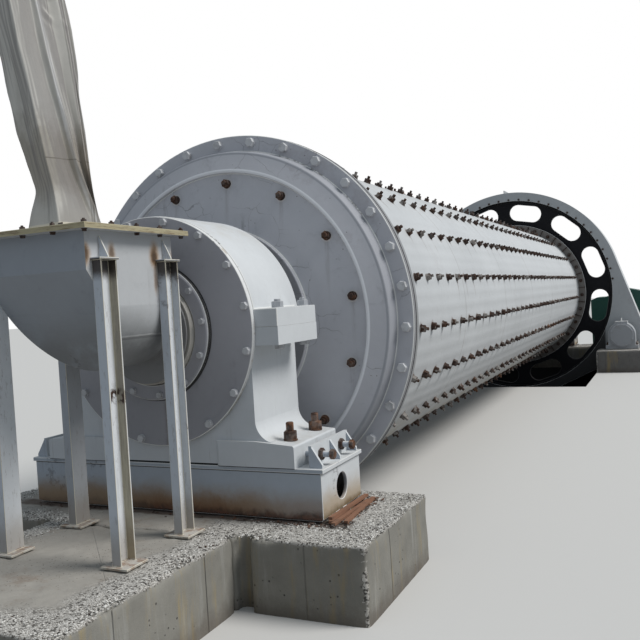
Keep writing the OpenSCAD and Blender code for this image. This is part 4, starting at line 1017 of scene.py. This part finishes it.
class BALLMILL_OT_paint(bpy.types.Operator):
    """Paints, steels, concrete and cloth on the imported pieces"""

    bl_idname = "ballmill.paint"
    bl_label = "Finishes of the packed pieces"

    def execute(self, context):
        sizes, colours = context.scene.mill_sizes, context.scene.mill_colours
        mill_paint("shell_paint", colours.shell, 0.25, 0.15, rust=0.08, extra=shell_marks(sizes))
        mill_paint("head_paint", colours.head, 0.7, 0.7, rust=0.15, cracks=0.45, gloss=0.55,
                   extra=head_marks(sizes))
        mill_paint("far_head_paint", colours.head, 0.6, 0.6, rust=0.12, cracks=0.3, gloss=0.55)
        mill_paint("bearing_paint", colours.bearing, 0.2, 0.25, gloss=0.55, extra=bearing_marks)
        mill_paint("cover_paint", colours.cover, 0.4, 0.4, gloss=0.55, extra=cover_marks)
        mill_paint("sole_paint", colours.bearing, 0.35, 0.4, chips=0.3, gloss=0.55, extra=sole_marks)
        mill_paint("hopper_paint", colours.hopper, 0.4, 0.4, rust=0.15, chips=0.3, gloss=0.5,
                   extra=hopper_marks)
        mill_paint("leg_paint", (0.68, 0.71, 0.74), 0.3, 0.4, rust=0.15, chips=0.3, gloss=0.55,
                   extra=leg_marks)
        # A lighter paint on the rounded edges: worn paint, and a painted highlight along them.
        mill_paint("highlit_worn_edge", (0.72, 0.73, 0.72), 0.2, 0.2, chips=0.5)
        mill_paint("cream_edge", (0.66, 0.62, 0.50), 0.3, 0.3, rust=0.5, chips=0.7)
        mill_paint("rim_edge", (0.50, 0.45, 0.30), 0.4, 0.3, rust=0.6, chips=0.9)
        mill_paint("nose_paint", (0.46, 0.44, 0.40), 0.4, 0.4, rust=0.35, chips=0.3)
        # A dark grey on the inlet spout as painted shade, where the hopper shades it.
        mill_paint("spout_shade_paint", (0.23, 0.232, 0.235), 0.5, 0.5, rust=0.3, chips=0.3)
        mill_paint("guard_paint", colours.guard, 0.35, 0.45, rust=0.1, extra=guard_marks)
        mill_paint("block_edge", (0.55, 0.56, 0.57), 0.3, 0.3, rust=0.2, chips=0.5)
        mill_paint("block_paint", (0.36, 0.375, 0.40), 0.5, 0.4, rust=0.2)
        mill_paint("drive_paint", colours.drive, 0.35, 0.25, gloss=0.35)
        mill_paint("motor_paint", colours.drive, 0.35, 0.25, gloss=0.4, extra=motor_marks)
        gear_paint("gear_paint", colours.gear)
        # A dark grey on the rounded edges of the gear's windows, a painted highlight against the black.
        plain_paint("window_highlight_edge", (0.09, 0.09, 0.085))
        plain_paint("pale_bolt", (0.50, 0.51, 0.53), 0.45)
        plain_paint("flange_bolt", (0.58, 0.59, 0.61), 0.5)
        plain_paint("packing", (0.012, 0.012, 0.012), 0.9)
        plain_paint("fitting", (0.78, 0.78, 0.76), 0.4)
        plain_paint("stone_pale", (0.72, 0.705, 0.67), 0.9)
        plain_paint("stone_grey", (0.47, 0.455, 0.425), 0.9)
        plain_paint("stone_dark", (0.09, 0.084, 0.078), 0.9)
        plain_paint("bar_rust", (0.24, 0.12, 0.072), 0.9)
        bare_steel("journal_steel")
        bare_steel("shaft_steel", (0.22, 0.22, 0.22), 0.5)
        rusty_steel("bolt_rust", 0.3, 0.65)
        rusty_steel("bolt_dark", 0.1, 0.15)
        rusty_steel("head_rust", 0.55, 0.12)
        rusty_steel("orange_rust", 0.8, 0.2)
        concrete_skin("pier_concrete", colours.concrete, "feed_pier")
        concrete_skin("slab_concrete", colours.concrete, "hopper_slab")
        concrete_skin("far_concrete", colours.concrete, "discharge_pier")
        concrete_skin("low_concrete", (0.19, 0.185, 0.18), "pinion_pier")
        concrete_skin("drive_concrete", (0.21, 0.205, 0.19), "drive_pier")
        low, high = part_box("canvas_sleeve")
        canvas_cloth("sleeve_canvas", colours.canvas, low.z, high.z)

        finishes = (
            ("shell_paint", "highlit_worn_edge", 0.004, "drum_shell"),
            ("head_paint", "highlit_worn_edge", 0.005, "feed_head"),
            ("far_head_paint", "highlit_worn_edge", 0.005, "discharge_head"),
            ("nose_paint", "cream_edge", 0.004, "feed_trunnion discharge_trunnion"),
            ("gear_paint", "window_highlight_edge", 0.007, "girth_gear_web"),
            ("gear_paint", "gear_paint", 0.0, "girth_gear_rim pinion"),
            ("sole_paint", "highlit_worn_edge", 0.003, "feed_sole_box feed_stops"),
            ("sole_paint", "highlit_worn_edge", 0.003, "discharge_sole_box discharge_stops"),
            ("bearing_paint", "highlit_worn_edge", 0.0035, "feed_bearing_base discharge_bearing_base"),
            ("bearing_paint", "highlit_worn_edge", 0.006, "feed_bearing_cap discharge_bearing_cap"),
            ("cover_paint", "highlit_worn_edge", 0.004, "feed_bearing_cover discharge_bearing_cover"),
            ("cover_paint", "highlit_worn_edge", 0.003, "feed_seal_ring discharge_seal_ring"),
            ("hopper_paint", "rim_edge", 0.002, "hopper_body hopper_lid"),
            ("hopper_paint", "highlit_worn_edge", 0.002, "sleeve_ring"),
            ("spout_shade_paint", "spout_shade_paint", 0.003, "inlet_spout"),
            ("leg_paint", "cream_edge", 0.0018, "hopper_leg_1 hopper_leg_2 hopper_leg_3 hopper_leg_4"),
            ("guard_paint", "highlit_worn_edge", 0.006, "guard_left guard_right"),
            ("block_paint", "block_edge", 0.006, "pinion_front_block pinion_rear_block"),
            ("block_paint", "bolt_dark", 0.004, "pinion_front_cap"),
            ("shaft_steel", "shaft_steel", 0.003, "pinion_shaft reducer_shaft"),
            ("shaft_steel", "shaft_steel", 0.004, "pinion_coupling motor_coupling"),
            ("drive_paint", "drive_paint", 0.008, "speed_reducer"),
            ("motor_paint", "motor_paint", 0.006, "drive_motor"),
        )
        for paint, edge, width, names in finishes:
            for name in names.split():
                self.dress(name, paint, edge, width)
        return {"FINISHED"}

    def dress(self, name, paint, edge, width):
        """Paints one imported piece, and rounds its edges in a finish of their own."""
        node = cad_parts[name]
        node.data.materials.clear()
        node.data.materials.append(material(paint))
        node.data.materials.append(material(edge))
        if width:
            node.modifiers.new("weld", "WELD").merge_threshold = 0.00005
            # The rounded edges take the second finish: worn paint, and on most pieces a painted highlight
            # along them.
            bevel = node.modifiers.new("worn edge", "BEVEL")
            bevel.width = width
            bevel.segments = 2
            bevel.limit_method = "ANGLE"
            bevel.angle_limit = math.radians(50)
            bevel.material = 1
            bevel.harden_normals = "bearing_base" not in name


class BALLMILL_OT_liner_bolts(bpy.types.Operator):
    """Rows of rusty liner bolts along the shell"""

    bl_idname = "ballmill.liner_bolts"
    bl_label = "Liner bolts"

    def execute(self, context):
        sizes = context.scene.mill_sizes
        noise.seed_set(11)
        shape = nut(0.041, 0.024, stud=0.010, rise=0.020, washer=0.026, thick=0.006)
        places, numbers = [], []
        for row in range(sizes.liner_rows):
            a = sizes.liner_first + 2 * math.pi * row / sizes.liner_rows
            for k in range(sizes.liner_count):
                away = Vector((math.cos(a), 0, math.sin(a)))
                lean = Vector(noise.random_unit_vector()) * 0.05
                point = Vector((0, sizes.liner_start + sizes.liner_step * k, AXIS_Z))
                point += away * sizes.shell_radius
                size = Matrix.Scale(0.90 + noise.random() * 0.2, 4)
                places.append(upright(point, away + lean, noise.random() * math.pi) @ size)
                worn = noise.random() * 0.5 + 0.5 * noise.random() + (0.22 if k < 3 else 0.0)
                numbers.append(1 if worn > 0.52 else 2 if worn < 0.16 else 0)
        shape = shape.copies(places, numbers)
        make("liner_bolts", shape, "bolt_dark bolt_rust orange_rust", DRUM)
        return {"FINISHED"}


class BALLMILL_OT_drum_bolts(bpy.types.Operator):
    """Flange bolts of the drum and the bolts through its heads"""

    bl_idname = "ballmill.drum_bolts"
    bl_label = "Drum flange and head bolts"

    def execute(self, context):
        sizes = context.scene.mill_sizes
        noise.seed_set(5)
        first = sizes.flange_first
        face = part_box("feed_head")[1].y - FLANGE
        back = SHELL_LOW.y + FLANGE
        painted = nut(0.050, 0.021, washer=0.030, thick=0.005)
        nuts = nut(0.048, 0.03, stud=0.014, rise=0.014, washer=0.029, thick=0.005)
        count, ring = sizes.flange_bolts, sizes.flange_bolt_circle
        front = circle_places(ring, face, -1, count, first)
        behind = circle_places(ring, back, 1, count, first)
        shape = painted.copies(front) + nuts.copies(behind)
        make("feed_flange_bolts", shape, "flange_bolt", DRUM)
        rear_face = SHELL_HIGH.y + GEAR_WEB + FLANGE
        rear = circle_places(ring, rear_face, 1, count, first)
        before = circle_places(ring + 0.008, SHELL_HIGH.y - FLANGE, -1, count, first)
        ribs = []
        for k in range(count):
            a = first + 2 * math.pi * (k + 0.5) / count
            turn = Matrix.Rotation(-a, 4, "Y")
            ribs.append(Matrix.Translation((0, SHELL_HIGH.y - FLANGE, AXIS_Z)) @ turn)
        rib = slab((sizes.shell_radius + 0.004, -0.030, -0.005), (1.178, 0.002, 0.005))
        shape = painted.copies(rear) + (nuts.copies(before) + rib.copies(ribs)).painted(1)
        make("gear_flange_bolts", shape, "head_paint bolt_dark", DRUM)
        tall = nut(0.045, 0.026, stud=0.015, rise=0.014, washer=0.027, thick=0.006)
        cone_depth, cone_slope = 0.1112, 0.139
        ends = circle_places(sizes.head_bolt_circle, SHELL_LOW.y - FLANGE - cone_depth, -1,
                             sizes.head_bolts, sizes.head_first, cone_slope)
        make("head_bolts", tall.copies(both_ends(ends)), "head_rust", DRUM)
        seal = lathe([(1.1555, 0.0), (1.1636, 0.0), (1.1636, 0.004), (1.1555, 0.004)], 160)
        seal = Shape(seal.points, seal.faces[:-2])
        turned = Matrix.Rotation(math.radians(-90), 4, "X")
        place = Matrix.Translation((0, SHELL_LOW.y - 0.002, AXIS_Z)) @ turned
        make("flange_packing", seal.moved(place), "packing", DRUM)
        return {"FINISHED"}


class BALLMILL_OT_bearing_bolts(bpy.types.Operator):
    """Bolts of the trunnion bearings: covers, seal rings, lugs, feet and jack screws"""

    bl_idname = "ballmill.bearing_bolts"
    bl_label = "Bearing bolts"

    def execute(self, context):
        noise.seed_set(23)
        cover_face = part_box("feed_bearing_cover")[0].y
        seal_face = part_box("feed_seal_ring")[0].y
        head = nut(0.036, 0.016, washer=0.022, thick=0.003)
        small = nut(0.030, 0.014, washer=0.018, thick=0.003)
        covers = circle_places(COVER_CIRCLE, cover_face, -1, 16, math.radians(11.0))
        seals = circle_places(SEAL_CIRCLE, seal_face, -1, 12, math.radians(7.5))
        shape = head.copies(both_ends(covers)) + small.copies(both_ends(seals))
        make("cover_bolts", shape, "pale_bolt", BASE)
        lug = nut(0.052, 0.026, stud=0.017, rise=0.012, washer=0.031, thick=0.005)
        under = nut(0.050, 0.022, washer=0.031, thick=0.005)
        tops, lows = [], []
        for side in (-1, 1):
            for y in (-0.12, 0.17):
                tops.append(standing(side * LUG_X, y, AXIS_Z + LUG_HALF))
                lows.append(standing(side * LUG_X, y, AXIS_Z - LUG_HALF, -1))
        shape = lug.copies(both_ends(tops)) + under.copies(both_ends(lows)).painted(1)
        make("lug_bolts", shape, "block_paint pale_bolt", BASE)
        foot_top = BASE_FOOT + 0.119
        anchor = nut(0.062, 0.042, stud=0.020, rise=0.045, washer=0.037, thick=0.006)
        anchors = [standing(side * 0.71, y, foot_top)
                   for side in (-1, 1) for y in (-0.145, 0.15)]
        collar = nut(0.052, 0.020)
        cap = nut(0.044, 0.022).moved(Matrix.Translation((0, 0, 0.058)))
        jack = collar + cap.painted(1)
        stop_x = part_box("feed_stops")[1].x - 0.0595
        jacks = [upright((side * stop_x, y, BASE_FOOT + 0.051), (side, 0, 0), noise.random() * 3)
                 for side in (-1, 1) for y in (-0.125, 0.125)]
        shape = anchor.copies(both_ends(anchors)).painted(1) + jack.copies(both_ends(jacks))
        make("foot_bolts", shape, "bolt_dark orange_rust", BASE)
        return {"FINISHED"}


class BALLMILL_OT_hopper_bolts(bpy.types.Operator):
    """Bolts round the hopper's flange and the sleeve's clamp"""

    bl_idname = "ballmill.hopper_bolts"
    bl_label = "Hopper bolts"

    def execute(self, context):
        noise.seed_set(31)
        low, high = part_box("hopper_lid")
        lid = 0.012
        bolt = nut(0.020, 0.009, stud=0.006, rise=0.006, washer=0.013, thick=0.003)
        below = nut(0.019, 0.009, washer=0.013, thick=0.003)
        inset, count = 0.026, 4
        tops, lows = [], []
        x0, x1, y0, y1 = low.x + inset, high.x - inset, low.y + inset, high.y - inset
        for k in range(count + 1):
            t = k / count
            for x, y in ((x0 + (x1 - x0) * t, y0), (x0 + (x1 - x0) * t, y1),
                         (x0, y0 + (y1 - y0) * t), (x1, y0 + (y1 - y0) * t)):
                tops.append(standing(x, y, HOPPER_RIM + lid))
                if (k + len(tops)) % 3:
                    lows.append(standing(x, y, HOPPER_RIM - lid, -1))
        shape = bolt.copies(tops) + below.copies(lows)
        make("hopper_bolts", shape, "bolt_dark", BASE)
        return {"FINISHED"}


class BALLMILL_OT_canvas(bpy.types.Operator):
    """The canvas sleeve with its folds"""

    bl_idname = "ballmill.canvas"
    bl_label = "Canvas sleeve"

    def execute(self, context):
        low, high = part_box("canvas_sleeve")
        rows, columns = 150, 200
        z = np.linspace(low.z, high.z, rows)
        t = (z - low.z) / (high.z - low.z)
        heights = np.array([0.0, 0.08, 0.17, 0.28, 0.40, 0.56, 0.70, 0.86, 1.0])

        def line(*offsets):
            """A fold's place across the view at each height, from its places at the stated ones."""
            smooth = np.interp(t, heights, offsets)
            kernel = np.hanning(13) / np.hanning(13).sum()
            return np.convolve(np.pad(smooth, 6, mode="edge"), kernel, mode="valid")

        left = line(-0.150, -0.128, -0.086, -0.109, -0.128, -0.133, -0.127, -0.129, -0.132)
        near = line(-0.010, -0.008, -0.012, -0.025, -0.029, -0.031, -0.037, -0.033, -0.028)
        ridge = line(0.180, 0.166, 0.142, 0.112, 0.105, 0.087, 0.081, 0.086, 0.092)
        right = line(0.186, 0.172, 0.170, 0.178, 0.184, 0.194, 0.216, 0.226, 0.228)
        second = line(0.182, 0.169, 0.160, 0.150, 0.160, 0.172, 0.188, 0.190, 0.190)
        second = np.clip(second, ridge + 0.003, right - 0.002)
        centre, half = (left + right) / 2, (right - left) / 2
        depth = half * 0.88
        ease = np.clip(t / 0.10, 0, 1) * np.clip((1 - t) / 0.06, 0, 1)

        def face(u):
            """Depth of the flat face between the near edge and the right one."""
            return depth * (right - u) / (right - near)

        def fold(start, end, share, rise):
            """A fold on the flat face, a share of the way between two others."""
            u = start + (end - start) * share
            return u, face(u) + rise * ease

        knots = [
            (left, 0 * t), (left + (near - left) * 0.5, depth * 0.5 - 0.016 * ease), (near, depth),
            fold(near, ridge, 0.3, 0.006), fold(near, ridge, 0.75, -0.004), fold(ridge, ridge, 0.0, 0.030),
            fold(ridge, second, 0.5, -0.030), fold(second, second, 0.0, 0.010),
            fold(second, right, 0.35, -0.007), fold(second, right, 0.6, 0.006),
            (right, 0 * t), (centre + half * 0.5, -depth * 0.48 + 0.014 * ease), (centre - 0.01, -depth),
            (centre - half * 0.35, -depth * 0.62 + 0.012 * ease),
            (centre - half * 0.7, -depth * 0.34 - 0.006 * ease),
        ]
        ring = np.array([[u, w] for u, w in knots])
        closed = np.concatenate([ring, ring[:1]])
        steps = np.sqrt((np.diff(closed, axis=0) ** 2).sum(axis=1)).mean(axis=1)
        marks = np.concatenate([[0], np.cumsum(steps)]) / steps.sum()
        spots = np.arange(columns) / columns
        outline = np.array([[np.interp(spots, marks, closed[:, axis, r]) for r in range(rows)]
                            for axis in (0, 1)])
        for _ in range(2):
            outline = (np.roll(outline, 1, 2) + 2 * outline + np.roll(outline, -1, 2)) / 4
        points = []
        for r in range(rows):
            for c in range(columns):
                u, w = outline[0, r, c], outline[1, r, c]
                away = Vector((u - centre[r], w)).normalized()
                a = 2 * math.pi * c / columns
                spot = Vector((2.6 * math.cos(a), 2.6 * math.sin(a), t[r] * 3.0))
                slant = noise.noise(Vector((7 * math.cos(a), 7 * math.sin(a), t[r] * 5.0 + 1.4 * a)))
                pucker = math.exp(-((t[r] - 0.84 - 0.03 * math.sin(3 * a)) / 0.035) ** 2)
                pleat = pucker * math.sin(t[r] * 95 + 5 * a) * 0.005
                pleat *= clamp((u - ridge[r]) / 0.03) * clamp((right[r] - u) / 0.05)
                drift = noise.noise(spot) * 0.007 + abs(slant) * -0.005 + pleat
                reach = drift * ease[r] + 0.010 * math.exp(-t[r] / 0.012)
                u, w = u + away.x * reach, w + away.y * reach
                points.append((*sleeve_place(u, w, t[r]), z[r]))
        faces = [(r * columns + c, r * columns + (c + 1) % columns,
                  (r + 1) * columns + (c + 1) % columns, (r + 1) * columns + c)
                 for r in range(rows - 1) for c in range(columns)]
        sleeve = make("canvas_cloth", Shape(points, faces), "sleeve_canvas", BASE, 180)
        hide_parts("canvas_sleeve")
        clip = (slab((-0.017, -0.006, -0.001), (0.017, 0.006, 0.013))
                + slab((-0.017, -0.004, 0.0), (0.017, 0.0, 0.034)))
        clips = []
        for u, w, turn in ((-0.005, 0.163, -0.3), (0.092, 0.083, 1.5),
                           (-0.158, 0.01, -0.9), (0.05, -0.12, 1.5)):
            clips.append(Matrix.Translation((*sleeve_place(u, w), low.z)) @ Matrix.Rotation(turn, 4, "Z"))
        make("sleeve_clips", clip.copies(clips), "orange_rust", BASE)
        return {"FINISHED"}


class BALLMILL_OT_concrete(bpy.types.Operator):
    """Cast concrete piers with chipped edges and rough tops"""

    bl_idname = "ballmill.concrete"
    bl_label = "Concrete piers"

    def execute(self, context):
        grain = context.scene.mill_sizes.concrete_grain
        piers = {
            "feed_pier": ("pier_concrete", grain, 0.05, "pier_top"),
            "hopper_slab": ("slab_concrete", grain, 0.05, "slab_top"),
            "discharge_pier": ("far_concrete", grain * 1.5, 0.03, "far_top"),
            "pinion_pier": ("low_concrete", grain * 1.5, 0.02, "pinion_top"),
            "drive_pier": ("drive_concrete", grain * 1.8, 0.02, "drive_top"),
        }
        for node, (paint, voxel, chip, title) in piers.items():
            low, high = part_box(node)
            source = bpy.data.objects.new("source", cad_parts[node].data.copy())
            context.scene.collection.objects.link(source)
            weld = source.modifiers.new("weld", "WELD")
            weld.merge_threshold = 0.0001
            remesh = source.modifiers.new("remesh", "REMESH")
            remesh.mode = "VOXEL"
            remesh.voxel_size = voxel
            context.view_layer.update()
            mesh = bpy.data.meshes.new_from_object(
                source.evaluated_get(context.evaluated_depsgraph_get()))
            bpy.data.objects.remove(source)
            points = np.zeros(len(mesh.vertices) * 3)
            mesh.vertices.foreach_get("co", points)
            points = points.reshape(-1, 3)
            normals = np.zeros(len(mesh.vertices) * 3)
            mesh.vertices.foreach_get("normal", normals)
            normals = normals.reshape(-1, 3)
            lows, highs = np.array(low), np.array(high)
            gaps = np.minimum(points - lows, highs - points)
            side = np.minimum(gaps[:, 0], gaps[:, 1])
            top = highs[2] - points[:, 2]
            corner = np.exp(-(side + top) / 0.03) + 0.5 * np.exp(-(gaps[:, 0] + gaps[:, 1]) / 0.02)
            upward = np.clip(normals[:, 2], 0, 1)
            for i, point in enumerate(points):
                spot = Vector(point)
                rough = 0.5 + 0.5 * noise.noise(spot * 24)
                broad = 0.5 + 0.5 * noise.noise(spot * 5)
                torn = max(0.0, noise.noise(spot * 7 + Vector((3, 1, 7))) + 0.25)
                sink = 0.0015 * rough + upward[i] * (0.006 * rough + 0.006 * broad)
                points[i] -= normals[i] * (sink + corner[i] * torn * chip)
            points = np.clip(points, lows, highs)
            mesh.vertices.foreach_set("co", points.ravel())
            mesh.materials.clear()
            mesh.materials.append(material(paint))
            mesh.polygons.foreach_set("use_smooth", [True] * len(mesh.polygons))
            mesh.update()
            cast = bpy.data.objects.new(title, mesh)
            context.scene.collection.objects.link(cast)
            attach(cast, BASE)
            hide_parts(node)
        return {"FINISHED"}


class BALLMILL_OT_stones(bpy.types.Operator):
    """Bare stones along the worn edges of the feed pier, and rusty scraps by the sole box"""

    bl_idname = "ballmill.stones"
    bl_label = "Bare stones and scraps"

    def execute(self, context):
        rng = np.random.default_rng(17)
        places, numbers = [], []
        wanted = context.scene.mill_sizes.stones
        while len(places) < wanted:
            x, y = rng.uniform(-PIER_HALF, PIER_HALF), rng.uniform(SLAB_FRONT, PIER_BACK)
            on_slab = y < PIER_FRONT
            if on_slab and abs(x) > SLAB_HALF:
                continue
            if on_slab:
                gap = min(SLAB_HALF - abs(x), y - SLAB_FRONT)
            else:
                gap = min(PIER_HALF - abs(x), PIER_BACK - y, max(y - PIER_FRONT, SLAB_HALF - abs(x)))
            reach = 0.17 + 0.11 * noise.noise(Vector((x * 3.2, y * 3.2, 4))) + (0.12 if x > 0.5 else 0.0)
            if gap < 0.012 or gap > reach or rng.random() < (gap / reach) ** 3:
                continue
            size = rng.uniform(0.0025, 0.0065)
            spin = tumbled(rng, "X")
            shape = Matrix.Diagonal((size, size * rng.uniform(0.6, 1.0), size * rng.uniform(0.5, 0.9), 1))
            drop = 0.007 + 0.5 * max(0.0, 0.022 - gap)
            places.append(Matrix.Translation((x, y, PIER_TOP - drop)) @ spin @ shape)
            numbers.append(int(rng.choice(4, p=(0.50, 0.34, 0.13, 0.03))))
        points = [(1, 0, 0), (0.3, 0.9, 0.1), (-0.8, 0.5, -0.1), (-0.7, -0.7, 0.1), (0.4, -0.9, 0),
                  (0.15, 0.1, 0.9), (0, 0, -0.9)]
        faces = [(k, (k + 1) % 5, 5) for k in range(5)] + [((k + 1) % 5, k, 6) for k in range(5)]
        stones = Shape(points, faces).copies(places, numbers)
        make("bare_stones", stones, "stone_pale stone_grey stone_dark bolt_rust", BASE, 20)

        box_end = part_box("feed_sole_box")[1].x
        bars = slab((-0.011, -0.235, 0.0), (0.011, 0.215, 0.013)).copies([
            Matrix.Translation((0.943, -0.008, PIER_TOP - 0.001)) @ Matrix.Rotation(0.03, 4, "Z"),
            Matrix.Translation((box_end + 0.022, -0.03, PIER_TOP - 0.003)) @ Matrix.Rotation(-0.02, 4, "Z"),
            Matrix.Translation((box_end + 0.048, 0.02, PIER_TOP - 0.004)) @ Matrix.Rotation(0.06, 4, "Z"),
            Matrix.Translation((0.948, 0.01, PIER_TOP + 0.012)) @ Matrix.Rotation(-0.03, 4, "Z")])
        scraps = []
        for _ in range(150):
            if rng.random() < 0.55:
                x, y = rng.uniform(0.93, 1.05), rng.uniform(-0.30, 0.25)
            else:
                x, y = rng.uniform(-0.9, 0.95), -0.256 - abs(rng.normal(0, 0.035))
            size = rng.uniform(0.002, 0.007)
            tip = tumbled(rng, "Y")
            flat = Matrix.Diagonal((size * rng.uniform(1, 2.2), size, 0.0015, 1))
            scraps.append(Matrix.Translation((x, y, PIER_TOP + 0.001)) @ tip @ flat)
        shape = bars.painted(1) + slab((-1, -1, -1), (1, 1, 1)).copies(scraps)
        make("rust_scraps", shape, "orange_rust bar_rust", BASE)
        return {"FINISHED"}


class BALLMILL_OT_drive_bolts(bpy.types.Operator):
    """Bolts of the gear guard, the pinion's bearings, the reducer, the couplings and the motor"""

    bl_idname = "ballmill.drive_bolts"
    bl_label = "Guard and drive bolts"

    def execute(self, context):
        noise.seed_set(41)
        guard_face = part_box("guard_left")[0].y
        peg = nut(0.028, 0.014, washer=0.018, thick=0.003)
        pegs = []
        for k in range(29):
            a = math.radians(6 + 6 * k)
            point = (GUARD_CIRCLE * math.cos(a), guard_face, AXIS_Z + GUARD_CIRCLE * math.sin(a))
            pegs.append(upright(point, (0, -1, 0), k))
        make("guard_bolts", peg.copies(pegs), "bolt_dark", BASE)

        cap_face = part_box("pinion_front_cap")[0].y
        screw = nut(0.024, 0.012, washer=0.015, thick=0.003)
        ring = []
        for k in range(8):
            a = math.radians(22.5 + 45 * k)
            point = (PINION_X + CAP_CIRCLE * math.cos(a), cap_face, PINION_Z + CAP_CIRCLE * math.sin(a))
            ring.append(upright(point, (0, -1, 0), a))
        foot = nut(0.046, 0.03, stud=0.015, rise=0.016, washer=0.029, thick=0.004)
        feet = []
        for node in ("pinion_front_block", "pinion_rear_block"):
            low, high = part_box(node)
            for x in (low.x + 0.032, high.x - 0.032):
                for y in (low.y + 0.05, high.y - 0.05):
                    feet.append(standing(x, y, low.z + 0.06))
        shape = screw.copies(ring) + foot.copies(feet).painted(1)
        low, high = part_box("pinion_front_block")
        greaser = lathe([(0.013, 0.0), (0.013, 0.022), (0.007, 0.026), (0.007, 0.040), (0.010, 0.043),
                         (0.004, 0.052)], 10)
        tops = [upright((PINION_X, (low.y + high.y) / 2, high.z - 0.002), (0, 0, 1))]
        shape = shape + greaser.copies(tops).painted(2)
        make("block_bolts", shape, "block_paint bolt_rust fitting", BASE)

        low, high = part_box("speed_reducer")
        big = nut(0.055, 0.034, stud=0.018, rise=0.02, washer=0.034, thick=0.005)
        base = [standing(x, y, low.z + 0.05) for x in (low.x + 0.021, high.x - 0.021)
                for y in np.linspace(low.y + 0.07, high.y - 0.07, 4)]
        small = nut(0.030, 0.018, washer=0.019, thick=0.004)
        split = [standing(x, y, PINION_Z + 0.028) for x in (low.x + 0.025, high.x - 0.025)
                 for y in np.linspace(low.y + 0.08, high.y - 0.08, 7)]
        breather = lathe([(0.03, 0.0), (0.03, 0.02), (0.045, 0.024), (0.045, 0.05), (0.02, 0.062)], 18)
        crown = [upright(((low.x + high.x) / 2 - 0.1, (low.y + high.y) / 2, high.z - 0.002), (0, 0, 1))]
        shape = big.copies(base).painted(1) + small.copies(split) + breather.copies(crown).painted(2)
        make("reducer_bolts", shape, "drive_paint bolt_rust fitting", BASE)

        low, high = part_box("pinion_coupling")
        pin = nut(0.028, 0.016, stud=0.008, rise=0.01, washer=0.017, thick=0.003)
        pins = []
        for k in range(10):
            a = 2 * math.pi * k / 10
            x, z = PINION_X + COUPLING_CIRCLE * math.cos(a), PINION_Z + COUPLING_CIRCLE * math.sin(a)
            for side in (-1, 1):
                pins.append(upright((x, (low.y + high.y) / 2 + side * 0.046, z), (0, side, 0), a))
        make("coupling_bolts", pin.copies(pins), "bolt_rust", PINION)

        low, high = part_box("drive_motor")
        centre = low.x + MOTOR_RADIUS
        feet = [standing(centre + side * 0.30, y, low.z + 0.035)
                for side in (-1, 1) for y in (low.y + 0.2, high.y - 0.25)]
        eye, ring_radius, wire = [], 0.032, 0.009
        for k in range(20):
            a = 2 * math.pi * k / 20
            for b in range(8):
                c = 2 * math.pi * b / 8
                reach = ring_radius + wire * math.cos(c)
                eye.append((reach * math.cos(a), wire * math.sin(c), reach * math.sin(a)))
        faces = [(k * 8 + b, k * 8 + (b + 1) % 8, (k + 1) % 20 * 8 + (b + 1) % 8, (k + 1) % 20 * 8 + b)
                 for k in range(20) for b in range(8)]
        lift = Shape(eye, faces).moved(Matrix.Translation((centre, (low.y + high.y) / 2, high.z + 0.026)))
        shape = big.copies(feet) + lift.painted(1)
        make("motor_bolts", shape, "bolt_rust drive_paint", BASE)
        return {"FINISHED"}


class BALLMILL_PT_panel(bpy.types.Panel):
    """Lists the steps that dress the mill"""

    bl_idname = "BALLMILL_PT_panel"
    bl_label = "Ball mill"
    bl_space_type = "VIEW_3D"
    bl_region_type = "UI"
    bl_category = "Ball mill"

    def draw(self, context):
        for step in STEPS:
            self.layout.operator(step.bl_idname)


STEPS = (
    BALLMILL_OT_stage,
    BALLMILL_OT_paint,
    BALLMILL_OT_liner_bolts,
    BALLMILL_OT_drum_bolts,
    BALLMILL_OT_bearing_bolts,
    BALLMILL_OT_hopper_bolts,
    BALLMILL_OT_canvas,
    BALLMILL_OT_concrete,
    BALLMILL_OT_stones,
    BALLMILL_OT_drive_bolts,
)
CLASSES = (MillSizes, MillColours, *STEPS, BALLMILL_PT_panel)


def register():
    """Adds the classes and the properties to Blender."""
    for cls in CLASSES:
        bpy.utils.register_class(cls)
    bpy.types.Scene.mill_sizes = bpy.props.PointerProperty(type=MillSizes)
    bpy.types.Scene.mill_colours = bpy.props.PointerProperty(type=MillColours)


def unregister():
    """Takes out again what register added."""
    del bpy.types.Scene.mill_colours
    del bpy.types.Scene.mill_sizes
    for cls in reversed(CLASSES):
        bpy.utils.unregister_class(cls)


def main():
    """Dresses the mill step by step."""
    register()
    for step in STEPS:
        group, name = step.bl_idname.split(".")
        getattr(getattr(bpy.ops, group), name)()


if __name__ == "__main__":
    main()
